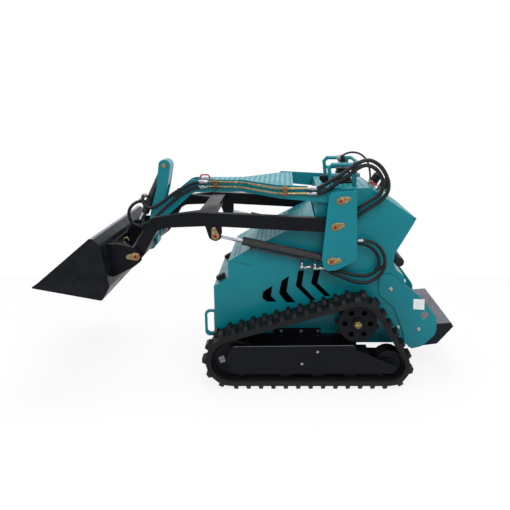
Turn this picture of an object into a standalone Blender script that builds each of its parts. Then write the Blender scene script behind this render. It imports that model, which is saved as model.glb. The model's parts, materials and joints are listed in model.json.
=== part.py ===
"""Mini skid steer loader on rubber tracks, stand-on type, with a self-levelling lift arm and a bucket.

Frame: metres, +X forward (towards the bucket), +Y the machine's left, +Z up. The origin is on the
ground, under the middle of the machine. Left pieces are modelled and right ones mirrored from them.
"""

import math

import bmesh
import bpy
from mathutils import Matrix, Vector

# Clearances
SEAT = 0.0003          # between pieces that touch
PIN_PLAY = 0.0004      # radial play of a moving piece on its pin

# Pivots, as (x, z)
LINK_PIVOT = (-0.487, 1.047)
ARM_PIVOT = (-0.461, 0.906)
LIFT_BASE = (-0.443, 0.715)
TIP_PIVOT = (0.622, 0.743)
LIFT_EYE = (0.188, 0.852)
LINK_FRONT = (TIP_PIVOT[0] + LINK_PIVOT[0] - ARM_PIVOT[0], TIP_PIVOT[1] + LINK_PIVOT[1] - ARM_PIVOT[1])
TILT_TOP = (0.521, 1.197)
TILT_EYE = (0.697, 0.845)
PIN_R = 0.0125
ARM_SHAFT_R = 0.028    # the cross shaft that joins the arms' tips and carries the knuckle

# Layers across the machine, as distances from its centre plane
BODY_Y = 0.336         # outer face of the side plates
SIDE_WALL = 0.006
SKIN = 0.004           # hood, console, front and rear sheets
FLAP_T = 0.003
LINK_Y = (0.345, 0.357)
ARM_Y = (0.368, 0.418)
TOWER_Y = (0.430, 0.440)
WING_T = 0.010
EAR_Y = (0.426, 0.438)
CYLINDER_Y = 0.393

# Body outline
FRONT_X = 0.216
BODY_BOTTOM = 0.200
LEDGE_FRONT = (FRONT_X, 0.542)
LEDGE_BACK = (0.134, 0.585)
NOSE_TOP = (0.131, 0.689)
HOOD_BEND = (0.010, 0.760)
HOOD_REAR = (-0.360, 0.945)
CONSOLE_FRONT = (-0.372, 1.090)
CONSOLE_REAR = (-0.657, 1.105)
TAIL = (-0.921, 0.932)
WAIST = ((-0.808, 0.732), (-0.803, 0.680), (-0.820, 0.637), (-0.864, 0.604))
SEAT_BACK = (-0.900, 0.420)
TAIL_BOTTOM_X = -0.905

# Work lamps, low enough for the arms' cross beam to pass over them
LAMP_WIDTH = 0.046
LAMP_HEIGHT = 0.0255

# Tracks
TRACK_GAP = 0.024      # from the side plate to the belt
TRACK_WIDTH = 0.180
TRACK_Y = (BODY_Y + TRACK_GAP, BODY_Y + TRACK_GAP + TRACK_WIDTH)
TRACK_MIDDLE = BODY_Y + TRACK_GAP + TRACK_WIDTH / 2
WHEEL_HALF = 0.30 * TRACK_WIDTH
TRACK_PITCH = 0.072
TRACK_LINKS = 37
CARCASS_T = 0.028
LUG_H = 0.022
LUG_SHARE = 0.40       # of a pitch that one lug covers
LUG_TAPER = 0.74       # of a lug's foot that its top keeps
FRONT_IDLER = ((0.103, 0.168), 0.118)
REAR_IDLER = ((-0.772, 0.135), 0.085)
SPROCKET = ((-0.591, 0.374), 0.114)
ROLLER_R = 0.042
ROLLER_X = (-0.190, -0.370, -0.555)
BELT_FLOOR = 0.050     # inner face of the belt's lower run
SPROCKET_BITE = 0.012  # how far the teeth reach into the belt
TEETH = 11
AXLE_R = 0.016
IDLER_SIDES = 20
FRAME_RAIL_Y = (TRACK_Y[0] + 0.012, TRACK_Y[0] + 0.024)
COVER_Y = (TRACK_Y[1] - 0.018, TRACK_Y[1] - 0.010)
CROSS_BEAM_X = (-0.060, -0.440)

# Bucket, at rest curled back
BUCKET_HALF = 0.540
BUCKET_LIP = (1.166, 0.592)
BUCKET_HEEL = (0.794, 0.521)
BUCKET_BACK = ((0.747, 0.600), (0.785, 0.824))
BUCKET_TOP = (0.820, 0.860)
BUCKET_T = 0.006
BUCKET_SIDE_T = 0.008

# Cylinders
LIFT_SLOPE = (LIFT_EYE[1] - LIFT_BASE[1]) / (LIFT_EYE[0] - LIFT_BASE[0])
LIFT_BARREL_R = 0.024
LIFT_ROD_R = 0.0125
LIFT_GLAND = 0.497     # from the base pivot to the barrel's mouth
LIFT_EYE_R = 0.017
TILT_BARREL_R = 0.025
TILT_ROD_R = 0.014
TILT_GLAND = 0.322
TILT_EYE_R = 0.018
EYE_HALF = 0.011
LUG_GAP = 0.019        # from a rod's eye centre to the lug beside it

# Knuckle and upper link
KNUCKLE_Y = (0.045, 0.057)
KNUCKLE_HEAD_R = 0.036
FORK_Y = (0.064, 0.074)
DECK_T = 0.006
LINK_RISE = 0.070      # from the link's pivot up to its deck's top
LINK_DROP = 0.004      # and down to its cheeks' under edge
LINK_TOP = LINK_PIVOT[1] + LINK_RISE
LINK_UNDER = LINK_PIVOT[1] - LINK_DROP

# Hoses and pipes
PIPE_R = 0.006
PIPE_Z = (LINK_TOP - 0.011, LINK_TOP - 0.039)
CLAMP_REACH = 0.013    # from a pipe's centre to its clamp's edge
PIPE_REAR = (-0.335, 0.372)     # as (x, y)
PIPE_FRONT = (0.285, 0.0935)
LINK_HOSE_R = 0.0105
LIFT_HOSE_R = 0.0095
TIP_HOSE_R = 0.0095
HOSE_GATES = ((0.783, 0.841), (0.918, 1.004))      # openings in the towers' rear webs, as z from and to
LIFT_PORTS = ((-0.356, 0.4045), (-0.284, 0.3825))  # under the lift barrel, as (x, y)
LIFT_PORT_Z = 0.667
PORT_NUT = 0.022       # from a port to its hose's end
FEED_DROP = 0.035      # from the lift barrel's axis down to the pipe under it
TIP_PORTS = ((0.224, 0.040), (0.258, 0.045))       # from the tilt barrel's top pin along it, and out of its axis
TIP_PORT_Y = 0.040

COLOURS = {            # name: (red, green, blue, roughness, metallic)
    "teal_paint": (0.008, 0.162, 0.195, 0.35, 0.0),
    "black_paint": (0.014, 0.015, 0.018, 0.40, 0.0),
    "rubber": (0.012, 0.012, 0.013, 0.80, 0.0),
    "bright_steel": (0.62, 0.62, 0.62, 0.25, 1.0),
    "yellow_zinc": (0.62, 0.50, 0.28, 0.35, 1.0),
    "red_plastic": (0.45, 0.02, 0.02, 0.40, 0.0),
    "grey_grit": (0.20, 0.20, 0.21, 0.90, 0.0),
}


def clear_scene():
    for old in list(bpy.data.objects):
        bpy.data.objects.remove(old, do_unlink=True)


def new_collection(name):
    made = bpy.data.collections.new(name)
    bpy.context.scene.collection.children.link(made)
    return made


def paint(name):
    """One Principled material for each entry of COLOURS, made once."""
    if name in bpy.data.materials:
        return bpy.data.materials[name]
    red, green, blue, roughness, metallic = COLOURS[name]
    made = bpy.data.materials.new(name)
    made.use_nodes = True
    shader = made.node_tree.nodes["Principled BSDF"]
    shader.inputs["Base Color"].default_value = (red, green, blue, 1.0)
    shader.inputs["Roughness"].default_value = roughness
    shader.inputs["Metallic"].default_value = metallic
    made.diffuse_color = (red, green, blue, 1.0)
    return made


# Shapes


def link_new(mesh, name="piece"):
    made = bpy.data.objects.new(name, mesh)
    WORKSHOP.objects.link(made)
    return made


def from_bmesh(bm):
    mesh = bpy.data.meshes.new("piece")
    bm.to_mesh(mesh)
    bm.free()
    return link_new(mesh)


def evaluated_copy(source):
    """The mesh that an object's modifiers or curve settings give, with its loose caps welded."""
    bpy.context.view_layer.update()
    graph = bpy.context.evaluated_depsgraph_get()
    mesh = bpy.data.meshes.new_from_object(source.evaluated_get(graph))
    bm = bmesh.new()
    bm.from_mesh(mesh)
    bm.transform(source.matrix_world)
    bmesh.ops.remove_doubles(bm, verts=bm.verts, dist=1e-6)
    bmesh.ops.recalc_face_normals(bm, faces=bm.faces)
    bm.to_mesh(mesh)
    bm.free()
    return mesh


def bake(source):
    """Replaces a curve or a modified object by its evaluated mesh."""
    made = link_new(evaluated_copy(source))
    bpy.data.objects.remove(source, do_unlink=True)
    return made


def block(low, high):
    bm = bmesh.new()
    bmesh.ops.create_cube(bm, size=1.0)
    low, high = Vector(low), Vector(high)
    bmesh.ops.scale(bm, verts=bm.verts, vec=high - low)
    bmesh.ops.translate(bm, verts=bm.verts, vec=(low + high) / 2)
    return from_bmesh(bm)


def facets(radius):
    """How many flats a round of this radius gets: 10 on a pin, 24 on a large wheel."""
    return 2 * round(4 + 72 * radius)


def rod(start, end, radius, end_radius=None, sides=None):
    start, end = Vector(start), Vector(end)
    along = end - start
    bm = bmesh.new()
    bmesh.ops.create_cone(
        bm, cap_ends=True, segments=sides or facets(radius), radius1=radius,
        radius2=radius if end_radius is None else end_radius, depth=along.length,
    )
    turn = along.to_track_quat("Z", "Y").to_matrix().to_4x4()
    bmesh.ops.transform(bm, verts=bm.verts, matrix=Matrix.Translation((start + end) / 2) @ turn)
    return from_bmesh(bm)


def across(centre, y_span, radius, sides=None):
    """A round bar along Y at (x, z)."""
    return rod((centre[0], y_span[0], centre[1]), (centre[0], y_span[1], centre[1]), radius, sides=sides)


def circle(centre, radius, sides=None):
    sides = sides or facets(radius)
    steps = (2 * math.pi * i / sides for i in range(sides))
    return [(centre[0] + radius * math.cos(a), centre[1] + radius * math.sin(a)) for a in steps]


def turn_about(centre, radius, degrees):
    """The (x, z) point at a radius and an angle from a centre."""
    return (centre[0] + radius * math.cos(math.radians(degrees)), centre[1] + radius * math.sin(math.radians(degrees)))


def bore(centre, radius, sides=None):
    """A hole's outline, whose flats stay clear of a pin of this radius as it turns."""
    sides = sides or facets(radius)
    return circle(centre, (radius + PIN_PLAY) / math.cos(math.pi / sides), sides)


def rounded(corners, steps=4):
    """Corners as (x, z) or (x, z, radius), with an arc at each radius; a short side narrows its arcs."""
    points = []
    for i, corner in enumerate(corners):
        here = Vector(corner[:2])
        if len(corner) < 3:
            points.append(tuple(here))
            continue
        back = Vector(corners[i - 1][:2]) - here
        ahead = Vector(corners[(i + 1) % len(corners)][:2]) - here
        half = back.angle(ahead) / 2
        setback = min(corner[2] / math.tan(half), 0.49 * back.length, 0.49 * ahead.length)
        radius = setback * math.tan(half)
        first, last = here + back.normalized() * setback, here + ahead.normalized() * setback
        middle = here + (back.normalized() + ahead.normalized()).normalized() * radius / math.sin(half)
        ray, stop = first - middle, last - middle
        sweep = math.atan2(ray.cross(stop), ray.dot(stop))
        for step in range(steps + 1):
            points.append(tuple(middle + Matrix.Rotation(sweep * step / steps, 2) @ ray))
    return points


def flat(outline, span, holes=(), turn=None):
    """A flat outline of (x, z) points with holes, filled and extruded over a span of Y, or turned from there."""
    curve = bpy.data.curves.new("outline", "CURVE")
    curve.dimensions = "2D"
    curve.fill_mode = "BOTH"
    curve.extrude = abs(span[1] - span[0]) / 2
    for points in (outline, *holes):
        spline = curve.splines.new("POLY")
        spline.points.add(len(points) - 1)
        for point, (x, z) in zip(spline.points, points):
            point.co = (x, z, 0, 1)
        spline.use_cyclic_u = True
    made = bpy.data.objects.new("outline", curve)
    WORKSHOP.objects.link(made)
    made.rotation_euler = (math.pi / 2, 0, 0)
    made.location = (0, (span[0] + span[1]) / 2, 0)
    if turn is not None:
        made.matrix_world = turn
    return bake(made)


def level(outline, z_span, holes=()):
    """A flat outline of (x, y) points extruded over a span of Z."""
    return flat(outline, z_span, holes, Matrix.Translation((0, 0, (z_span[0] + z_span[1]) / 2)))


def folded_sheet(profile, y_span, thickness):
    """A sheet folded along lines of Y; its outer profile runs anticlockwise, and the metal lies inside it."""
    points = [Vector(point) for point in profile]
    inner = []
    for i, point in enumerate(points):
        runs = [b - a for a, b in zip(points[max(i - 1, 0):i + 1], points[max(i - 1, 0) + 1:i + 2])]
        sides = [Vector((-run.y, run.x)).normalized() for run in runs]
        normal = sum(sides, Vector((0, 0))).normalized()
        inner.append(point + normal * thickness / normal.dot(sides[0]))
    return flat([*points, *reversed(inner)], y_span)


def tube(points, radius, sides_resolution=2, cyclic=False, smooth=0):
    """A round tube along points; with smooth, each span between them is divided on a Catmull-Rom curve."""
    if smooth:
        points = smooth_route(points, smooth)
    curve = bpy.data.curves.new("tube", "CURVE")
    curve.dimensions = "3D"
    curve.bevel_depth = radius
    curve.bevel_resolution = sides_resolution
    curve.use_fill_caps = not cyclic
    spline = curve.splines.new("POLY")
    spline.points.add(len(points) - 1)
    for point, co in zip(spline.points, points):
        point.co = (*co, 1)
    spline.use_cyclic_u = cyclic
    made = bpy.data.objects.new("tube", curve)
    WORKSHOP.objects.link(made)
    return bake(made)


def smooth_route(points, steps):
    knots = [Vector(p) for p in points]
    knots = [2 * knots[0] - knots[1], *knots, 2 * knots[-1] - knots[-2]]
    route = []
    for a, b, c, d in zip(knots, knots[1:], knots[2:], knots[3:]):
        for step in range(steps):
            t = step / steps
            route.append(
                0.5 * (2 * b + (c - a) * t + (2 * a - 5 * b + 4 * c - d) * t**2 + (3 * b - a - 3 * c + d) * t**3)
            )
    return [*route, knots[-2]]


def turned(profile, centre, steps=None):
    """A solid of revolution about the line along Y through (x, z), from (radius, y) points."""
    bm = bmesh.new()
    verts = [bm.verts.new((radius, y, 0)) for radius, y in profile]
    for i in range(len(verts)):
        bm.edges.new((verts[i], verts[(i + 1) % len(verts)]))
    bmesh.ops.spin(
        bm, geom=bm.verts[:] + bm.edges[:], axis=(0, 1, 0), cent=(0, 0, 0),
        angle=2 * math.pi, steps=steps or facets(max(radius for radius, _ in profile)), use_merge=True,
    )
    bmesh.ops.remove_doubles(bm, verts=bm.verts, dist=1e-6)
    bmesh.ops.recalc_face_normals(bm, faces=bm.faces)
    bmesh.ops.translate(bm, verts=bm.verts, vec=(centre[0], 0, centre[1]))
    return from_bmesh(bm)


def combine(base, others, operation):
    for other in others:
        step = base.modifiers.new(operation.title(), "BOOLEAN")
        step.operation = operation
        step.object = other
    made = bake(base)
    for other in others:
        bpy.data.objects.remove(other, do_unlink=True)
    return made


def fuse(*pieces):
    return combine(pieces[0], pieces[1:], "UNION")


def carve(base, *cutters):
    return combine(base, cutters, "DIFFERENCE")


def mirrored(source):
    """The right-hand twin of a left-hand piece."""
    bm = bmesh.new()
    bm.from_mesh(source.data)
    bmesh.ops.scale(bm, verts=bm.verts, vec=(1, -1, 1))
    bmesh.ops.reverse_faces(bm, faces=bm.faces)
    return from_bmesh(bm)


def with_mirror(half):
    """A piece that spans the machine, from its left half, which reaches a little past the centre plane."""
    step = half.modifiers.new("Other side", "MIRROR")
    step.use_axis = (False, True, False)
    step.use_bisect_axis = (False, True, False)
    step.bisect_threshold = 1e-5
    step.merge_threshold = 1e-5
    return bake(half)


def place(piece, name, colour, body):
    """Names a finished piece, paints it and hangs it on its body's empty."""
    piece.name = name
    piece.data.name = name
    WORKSHOP.objects.unlink(piece)
    LOADER.objects.link(piece)
    piece.data.materials.clear()
    piece.data.materials.append(paint(colour))
    piece.data.shade_smooth()
    piece.data.set_sharp_from_angle(angle=math.radians(35))
    piece.parent = BODIES[body]
    piece.matrix_parent_inverse = BODIES[body].matrix_world.inverted()


def place_pair(left, name, colour, body, body_is_paired=False):
    right = mirrored(left)
    for piece, side in ((left, "left"), (right, "right")):
        place(piece, f"{name}_{side}", colour, f"{body}_{side}" if body_is_paired else body)


def along(start, end, distance):
    """The point at a distance from start on the line to end, both (x, z)."""
    a, b = Vector(start), Vector(end)
    return tuple(a + (b - a).normalized() * distance)


# Body


def side_outline():
    return [
        (FRONT_X, BODY_BOTTOM + 0.035), LEDGE_FRONT, LEDGE_BACK, NOSE_TOP, HOOD_BEND, HOOD_REAR,
        CONSOLE_FRONT, CONSOLE_REAR, (*TAIL, 0.030), *WAIST, SEAT_BACK,
        (TAIL_BOTTOM_X, BODY_BOTTOM), (0.130, BODY_BOTTOM),
    ]


CHEVRONS = (           # outlines of the vents, as (x, z)
    ((-0.119, 0.546), (-0.065, 0.510), (-0.059, 0.472), (-0.087, 0.448), (-0.144, 0.448), (-0.110, 0.484)),
    ((-0.213, 0.605), (-0.170, 0.573), (-0.156, 0.499), (-0.196, 0.445), (-0.253, 0.442), (-0.199, 0.510)),
    ((-0.298, 0.637), (-0.266, 0.634), (-0.251, 0.544), (-0.336, 0.456), (-0.370, 0.457), (-0.286, 0.546)),
    ((-0.391, 0.638), (-0.353, 0.636), (-0.338, 0.560), (-0.418, 0.481), (-0.455, 0.482), (-0.374, 0.561)),
)


def build_body():
    side = flat(rounded(side_outline()), (BODY_Y - SIDE_WALL, BODY_Y), CHEVRONS)
    flap = flat(
        [(0.126, 0.687), (0.102, 0.694), (-0.021, 0.665), (-0.095, 0.705), (-0.285, 0.808), (-0.355, 0.862),
         (-0.358, 0.940), (HOOD_BEND[0], HOOD_BEND[1] - 0.001)],
        (BODY_Y - 0.001, BODY_Y + FLAP_T),
    )
    place_pair(fuse(side, flap), "side_plate", "teal_paint", "chassis")

    inner = BODY_Y - SIDE_WALL - SEAT
    skins = (          # name, outer profile from front to back, colour
        ("front_panel", ((FRONT_X, BODY_BOTTOM + 0.040), LEDGE_FRONT, LEDGE_BACK, (NOSE_TOP[0], NOSE_TOP[1] - 0.006))),
        ("hood", (NOSE_TOP, HOOD_BEND, (HOOD_REAR[0] + 0.006, HOOD_REAR[1] - 0.003))),
        ("console_shell", (HOOD_REAR, CONSOLE_FRONT, CONSOLE_REAR, TAIL, WAIST[0], WAIST[1])),
        ("rear_panel", ((WAIST[1][0] - 0.002, WAIST[1][1] - 0.006), WAIST[2], WAIST[3], SEAT_BACK,
                        (TAIL_BOTTOM_X, BODY_BOTTOM + 0.006))),
    )
    for name, profile in skins:
        place(folded_sheet(profile, (-inner, inner), SKIN), name, "teal_paint", "chassis")

    belly = folded_sheet(
        ((TAIL_BOTTOM_X, BODY_BOTTOM), (0.130, BODY_BOTTOM), (FRONT_X, BODY_BOTTOM + 0.034)), (-inner, inner), SKIN
    )
    reach = FRAME_RAIL_Y[0] - SEAT
    beams = [block((x - 0.03, -reach, 0.136), (x + 0.03, reach, BODY_BOTTOM - SEAT)) for x in CROSS_BEAM_X]
    risers = [block((x - 0.02, -0.25, 0.190), (x + 0.02, 0.25, BODY_BOTTOM + 0.002)) for x in CROSS_BEAM_X]
    place(fuse(belly, *beams, *risers), "belly_frame", "teal_paint", "chassis")

    floor = BODY_BOTTOM + SKIN + SEAT
    place(block((-0.52, -0.20, floor), (-0.06, 0.20, 0.62)), "engine_block", "black_paint", "chassis")


def build_tower():
    outline = rounded((
        (-0.427, 1.095, 0.030), (-0.572, 1.102, 0.006), (-0.584, 0.728, 0.016), (-0.552, 0.706, 0.010),
        (-0.470, 0.664, 0.030), (-0.408, 0.660, 0.030), (-0.391, 0.725, 0.020),
    ))
    outer = flat(outline, TOWER_Y)
    web = flat(
        [(-0.562, 1.094), (-0.570, 1.094), (-0.582, 0.735), (-0.574, 0.735)],
        (BODY_Y + SEAT, TOWER_Y[0] + 0.004),
    )
    gates = [block((-0.60, 0.345, low), (-0.55, 0.420, high)) for low, high in HOSE_GATES]
    pins = (           # pivot, where the flag's bolt is
        (LINK_PIVOT, (-0.527, 1.058)),
        (ARM_PIVOT, (-0.501, 0.917)),
        (LIFT_BASE, (-0.484, 0.720)),
    )
    pins = [flagged_pin(pivot, bolt, (BODY_Y + SEAT, TOWER_Y[1] - 0.001)) for pivot, bolt in pins]
    place_pair(fuse(outer, carve(web, *gates), *pins), "tower", "teal_paint", "chassis")


def flagged_pin(pivot, bolt, y_span):
    """A pin with a pear-shaped flag welded to its outer end; the flag's bolt keeps it from turning."""
    toward = Vector(bolt) - Vector(pivot)
    lean = math.atan2(toward.y, toward.x)
    spread = math.acos((0.021 - 0.012) / toward.length)
    outline = []
    for centre, radius, start, end in ((pivot, 0.021, lean + spread, lean + 2 * math.pi - spread),
                                       (bolt, 0.012, lean - spread, lean + spread)):
        for step in range(6):
            a = start + (end - start) * step / 5
            outline.append((centre[0] + radius * math.cos(a), centre[1] + radius * math.sin(a)))
    flag = flat(outline, (y_span[1], y_span[1] + 0.006))
    shank = across(pivot, (y_span[0], y_span[1] + 0.002), PIN_R)
    boss = across(pivot, (y_span[1] + 0.003, y_span[1] + 0.011), PIN_R)
    head = across(bolt, (y_span[1] + 0.003, y_span[1] + 0.011), 0.008, sides=6)
    return fuse(flag, shank, boss, head)


def build_rear():
    outline = rounded((
        (-0.722, 0.615), (-0.792, 0.615, 0.03), (-0.975, 0.474, 0.08), (-1.066, 0.350, 0.07), (-1.066, 0.255, 0.07),
        (-0.985, 0.180, 0.05), (-0.928, 0.165, 0.01), (-0.886, 0.200, 0.02), (-0.872, 0.275, 0.05),
        (-0.818, 0.414, 0.06), (-0.726, 0.500, 0.02),
    ))
    wing = flat(outline, (BODY_Y + SEAT, BODY_Y + SEAT + WING_T), [circle((-0.994, 0.370), 0.024)])
    place_pair(wing, "wing_plate", "teal_paint", "chassis")

    inner = BODY_Y - SEAT
    weight = flat(
        rounded(((-0.912, 0.170), (-1.077, 0.192, 0.012), (-1.166, 0.298), (-1.152, 0.322, 0.006),
                 (-0.912, 0.300))),
        (-inner, inner),
    )
    place(weight, "counterweight", "black_paint", "chassis")

    bracket = [(-0.8205, 0.637), (-0.8065, 0.673), (-0.850, 0.686), (-0.856, 0.652)]
    bar = across((-0.846, 0.670), (-0.001, BODY_Y - 0.05), 0.027)
    place(with_mirror(fuse(bar, flat(bracket, (0.16, 0.20)))), "thigh_bar", "black_paint", "chassis")


def build_front_fittings():
    ring = rounded(((0.2165, 0.240), (0.274, 0.240, 0.040), (0.274, 0.398, 0.040), (0.2165, 0.398)), steps=6)
    hole = rounded(((0.2205, 0.262), (0.260, 0.262, 0.026), (0.260, 0.384, 0.026), (0.2205, 0.384)), steps=6)
    loop = flat(ring, (0.316, 0.330), [hole])
    place_pair(loop, "tow_loop", "teal_paint", "chassis")

    rise = Vector(LEDGE_BACK) - Vector(LEDGE_FRONT)
    slope = math.atan2(rise.y, rise.x)
    foot = Vector(LEDGE_FRONT) + rise * 0.48
    lamp = fuse(
        block((-0.024, -LAMP_WIDTH / 2, 0.004), (0.022, LAMP_WIDTH / 2, LAMP_HEIGHT)),
        block((-0.006, -0.018, SEAT), (0.010, 0.018, 0.008)),
    )
    bm = bmesh.new()
    bm.from_mesh(lamp.data)
    stand = Matrix.Translation((foot.x, 0.25, foot.y)) @ Matrix.Rotation(math.pi - slope, 4, "Y")
    bmesh.ops.transform(bm, verts=bm.verts, matrix=stand)
    bpy.data.objects.remove(lamp, do_unlink=True)
    place_pair(from_bmesh(bm), "work_lamp", "black_paint", "chassis")


def console_top(x):
    (x0, z0), (x1, z1) = CONSOLE_FRONT, CONSOLE_REAR
    return z0 + (z1 - z0) * (x - x0) / (x1 - x0)


def stood_on_console(piece):
    """Cuts off what of a piece would lie under the console's sloping top."""
    ground = [(x, console_top(x) + SEAT) for x in (-0.30, -0.70)]
    return carve(piece, flat([(-0.30, 0.95), *ground, (-0.70, 0.95)], (-0.30, 0.30)))


def build_controls():
    deck = 1.0975      # console deck's height at the controls
    x0, x1, y, top = -0.437, -0.610, 0.23, 1.220
    rail = [
        (x0 - 0.015, y, deck - 0.02), (x0, y, top - 0.02), (x0 - 0.02, y, top), (x1, y, top),
        (x1, -y, top), (x0 - 0.02, -y, top), (x0, -y, top - 0.02), (x0 - 0.015, -y, deck - 0.02),
    ]
    bars = [rod((x0 - 0.006, side * y, 1.162), (x1, side * y, 1.162), 0.010, sides=8) for side in (1, -1)]
    posts = [rod((x1 + 0.030, side * y, deck - 0.020), (x1 + 0.030, side * y, top - 0.003), 0.013, sides=10)
             for side in (1, -1)]
    back = rod((x1 + 0.008, -y, 1.162), (x1 + 0.008, y, 1.162), 0.0095, sides=8)
    guard = fuse(tube(rail, 0.012), *bars, *posts, back)
    place(stood_on_console(guard), "control_guard", "teal_paint", "chassis")

    cap_foot = 1.088
    cap = fuse(rod((-0.428, 0, cap_foot), (-0.428, 0, cap_foot + 0.020), 0.020),
               rod((-0.428, 0, cap_foot + 0.016), (-0.428, 0, cap_foot + 0.046), 0.030))
    place(stood_on_console(cap), "filler_cap", "black_paint", "chassis")

    valve = fuse(
        block((-0.565, -0.15, deck - 0.020), (-0.480, 0.15, deck + 0.060)),
        *[rod((x, y, deck + 0.055), (x, y, deck + 0.077), 0.013, sides=6)
          for x in (-0.500, -0.540) for y in (-0.11, -0.04, 0.03, 0.10)],
    )
    levers = (         # foot x, foot y, lean in x, height, grip radius
        (-0.545, 0.072, -0.012, 0.088, 0.016),
        (-0.545, -0.072, -0.012, 0.088, 0.016),
        (-0.500, 0.132, -0.005, 0.070, 0.011),
    )
    pieces = []
    for x, y, lean, height, grip in levers:
        foot = deck + 0.056
        pieces += [
            rod((x, y, foot), (x + lean * 0.4, y, foot + height * 0.45), 0.024, 0.010, sides=10),
            rod((x, y, foot + 0.004), (x + lean, y, foot + height), 0.006, sides=6),
            rod((x + lean * 0.7, y, foot + height * 0.66), (x + lean, y, foot + height), grip, grip * 0.8, sides=10),
        ]
    place(stood_on_console(fuse(valve, *pieces)), "valve_and_levers", "black_paint", "chassis")


# Tracks


def belt_route():
    """The belt's inner line, anticlockwise seen from the left, as (point, outward normal, distance along)."""
    (front, front_r), (rear, rear_r), (top, top_r) = FRONT_IDLER, REAR_IDLER, SPROCKET
    wheels = [
        (Vector(front), front_r), (Vector(top), top_r), (Vector(rear), rear_r),
    ]
    tangents = []
    for (a, ra), (b, rb) in zip(wheels, wheels[1:] + wheels[:1]):
        line = b - a
        lean = math.atan2(line.y, line.x) - math.acos((ra - rb) / line.length)
        normal = Vector((math.cos(lean), math.sin(lean)))
        tangents.append((a + normal * ra, b + normal * rb, lean))
    route = []
    for i, (centre, radius) in enumerate(wheels):
        start, end = tangents[i - 1][2], tangents[i][2]
        sweep = (end - start) % (2 * math.pi)
        for step in range(25):
            a = start + sweep * step / 24
            normal = Vector((math.cos(a), math.sin(a)))
            route.append((centre + normal * radius, normal))
    return route


class Belt:
    """Reads points at any distance along the closed belt line."""

    def __init__(self):
        self.knots = belt_route()
        self.at = [0.0]
        closed = self.knots + self.knots[:1]
        for (a, _), (b, _) in zip(closed, closed[1:]):
            self.at.append(self.at[-1] + (b - a).length)
        self.length = self.at[-1]
        self.closed = closed

    def read(self, distance, height):
        distance %= self.length
        i = max(k for k, d in enumerate(self.at[:-1]) if d <= distance)
        (a, na), (b, nb) = self.closed[i], self.closed[i + 1]
        share = (distance - self.at[i]) / max(self.at[i + 1] - self.at[i], 1e-9)
        return a.lerp(b, share) + na.lerp(nb, share).normalized() * height


def build_belt():
    """A rubber belt wrapped round its wheels: stations along it, raised into two staggered rows of lugs."""
    belt = Belt()
    pitch = belt.length / TRACK_LINKS
    middle = TRACK_MIDDLE
    bm = bmesh.new()
    rings = []
    marks = []
    for link in range(TRACK_LINKS):
        for phase, raised in ((0.0, 1), (LUG_SHARE, 0), (0.5, 2), (0.5 + LUG_SHARE, 0)):
            at = (link + phase) * pitch
            outer, inner = belt.read(at, CARCASS_T), belt.read(at, 0.0)
            ring = [bm.verts.new((outer.x, y, outer.y)) for y in (TRACK_Y[0], middle, TRACK_Y[1])]
            ring += [bm.verts.new((inner.x, y, inner.y)) for y in (TRACK_Y[1], TRACK_Y[0])]
            rings.append(ring)
            marks.append(raised)
    lugs = []
    for i, ring in enumerate(rings):
        after = rings[(i + 1) % len(rings)]
        for k in range(5):
            face = bm.faces.new((ring[k], after[k], after[(k + 1) % 5], ring[(k + 1) % 5]))
            if marks[i] == 1 and k == 0 or marks[i] == 2 and k == 1:
                lugs.append(face)
    bmesh.ops.recalc_face_normals(bm, faces=bm.faces)
    raised = bmesh.ops.extrude_discrete_faces(bm, faces=lugs)["faces"]
    for face in raised:
        centre = face.calc_center_median()
        lift = face.normal.copy()
        for vert in face.verts:
            vert.co = centre + (vert.co - centre) * LUG_TAPER + lift * LUG_H
    made = from_bmesh(bm)
    centre, radius = SPROCKET
    return carve(made, across(centre, (middle - 0.015, middle + 0.015), radius + SPROCKET_BITE + 0.001, sides=40))


def build_sprocket():
    centre, radius = SPROCKET
    middle = TRACK_MIDDLE
    tip = radius + SPROCKET_BITE
    outline = []
    for tooth in range(TEETH):
        for share, r in ((-0.34, radius - 0.016), (-0.13, tip), (0.13, tip), (0.34, radius - 0.016)):
            a = 2 * math.pi * (tooth + share) / TEETH
            outline.append((centre[0] + r * math.cos(a), centre[1] + r * math.sin(a)))
    ring = flat(outline, (middle - 0.006, middle + 0.006))
    holes = [circle((centre[0] + 0.070 * math.cos(a), centre[1] + 0.070 * math.sin(a)), 0.016, 8)
             for a in (math.pi * i / 3 for i in range(6))]
    disc = flat(circle(centre, radius - 0.006, 22), (middle + 0.034, middle + 0.044), holes)
    drum = turned(((0.090, middle), (0.107, middle), (0.107, middle + 0.036), (0.090, middle + 0.036)), centre, 20)
    hub = across(centre, (middle - 0.0075, middle + 0.056), 0.034)
    nut = across(centre, (middle + 0.054, middle + 0.070), 0.021, sides=6)
    place_pair(fuse(drum, disc, ring, hub, nut), "sprocket", "black_paint", "chassis")
    motor = fuse(
        across(centre, (BODY_Y + SEAT, middle - 0.0078), 0.060),
        across(centre, (BODY_Y + SEAT, BODY_Y + 0.014), 0.078, sides=6),
    )
    place_pair(motor, "drive_motor", "black_paint", "chassis")


def idler(wheel, y_span):
    """A spoked-out idler: two rims with a groove between them for the belt's guides, on a bored hub."""
    centre, radius = wheel
    r = radius - (LUG_SHARE * TRACK_PITCH) ** 2 / (8 * radius) - SEAT
    y0, y1 = y_span
    middle = (y0 + y1) / 2
    bore_r = AXLE_R / math.cos(math.pi / IDLER_SIDES) + SEAT
    return turned((
        (bore_r, y0), (bore_r, y1), (0.038, y1), (0.040, y1 - 0.014), (r - 0.018, y1 - 0.014), (r - 0.012, y1),
        (r, y1), (r, middle + 0.018), (r - 0.016, middle), (r, middle - 0.018), (r, y0),
    ), centre, steps=IDLER_SIDES)


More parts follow.
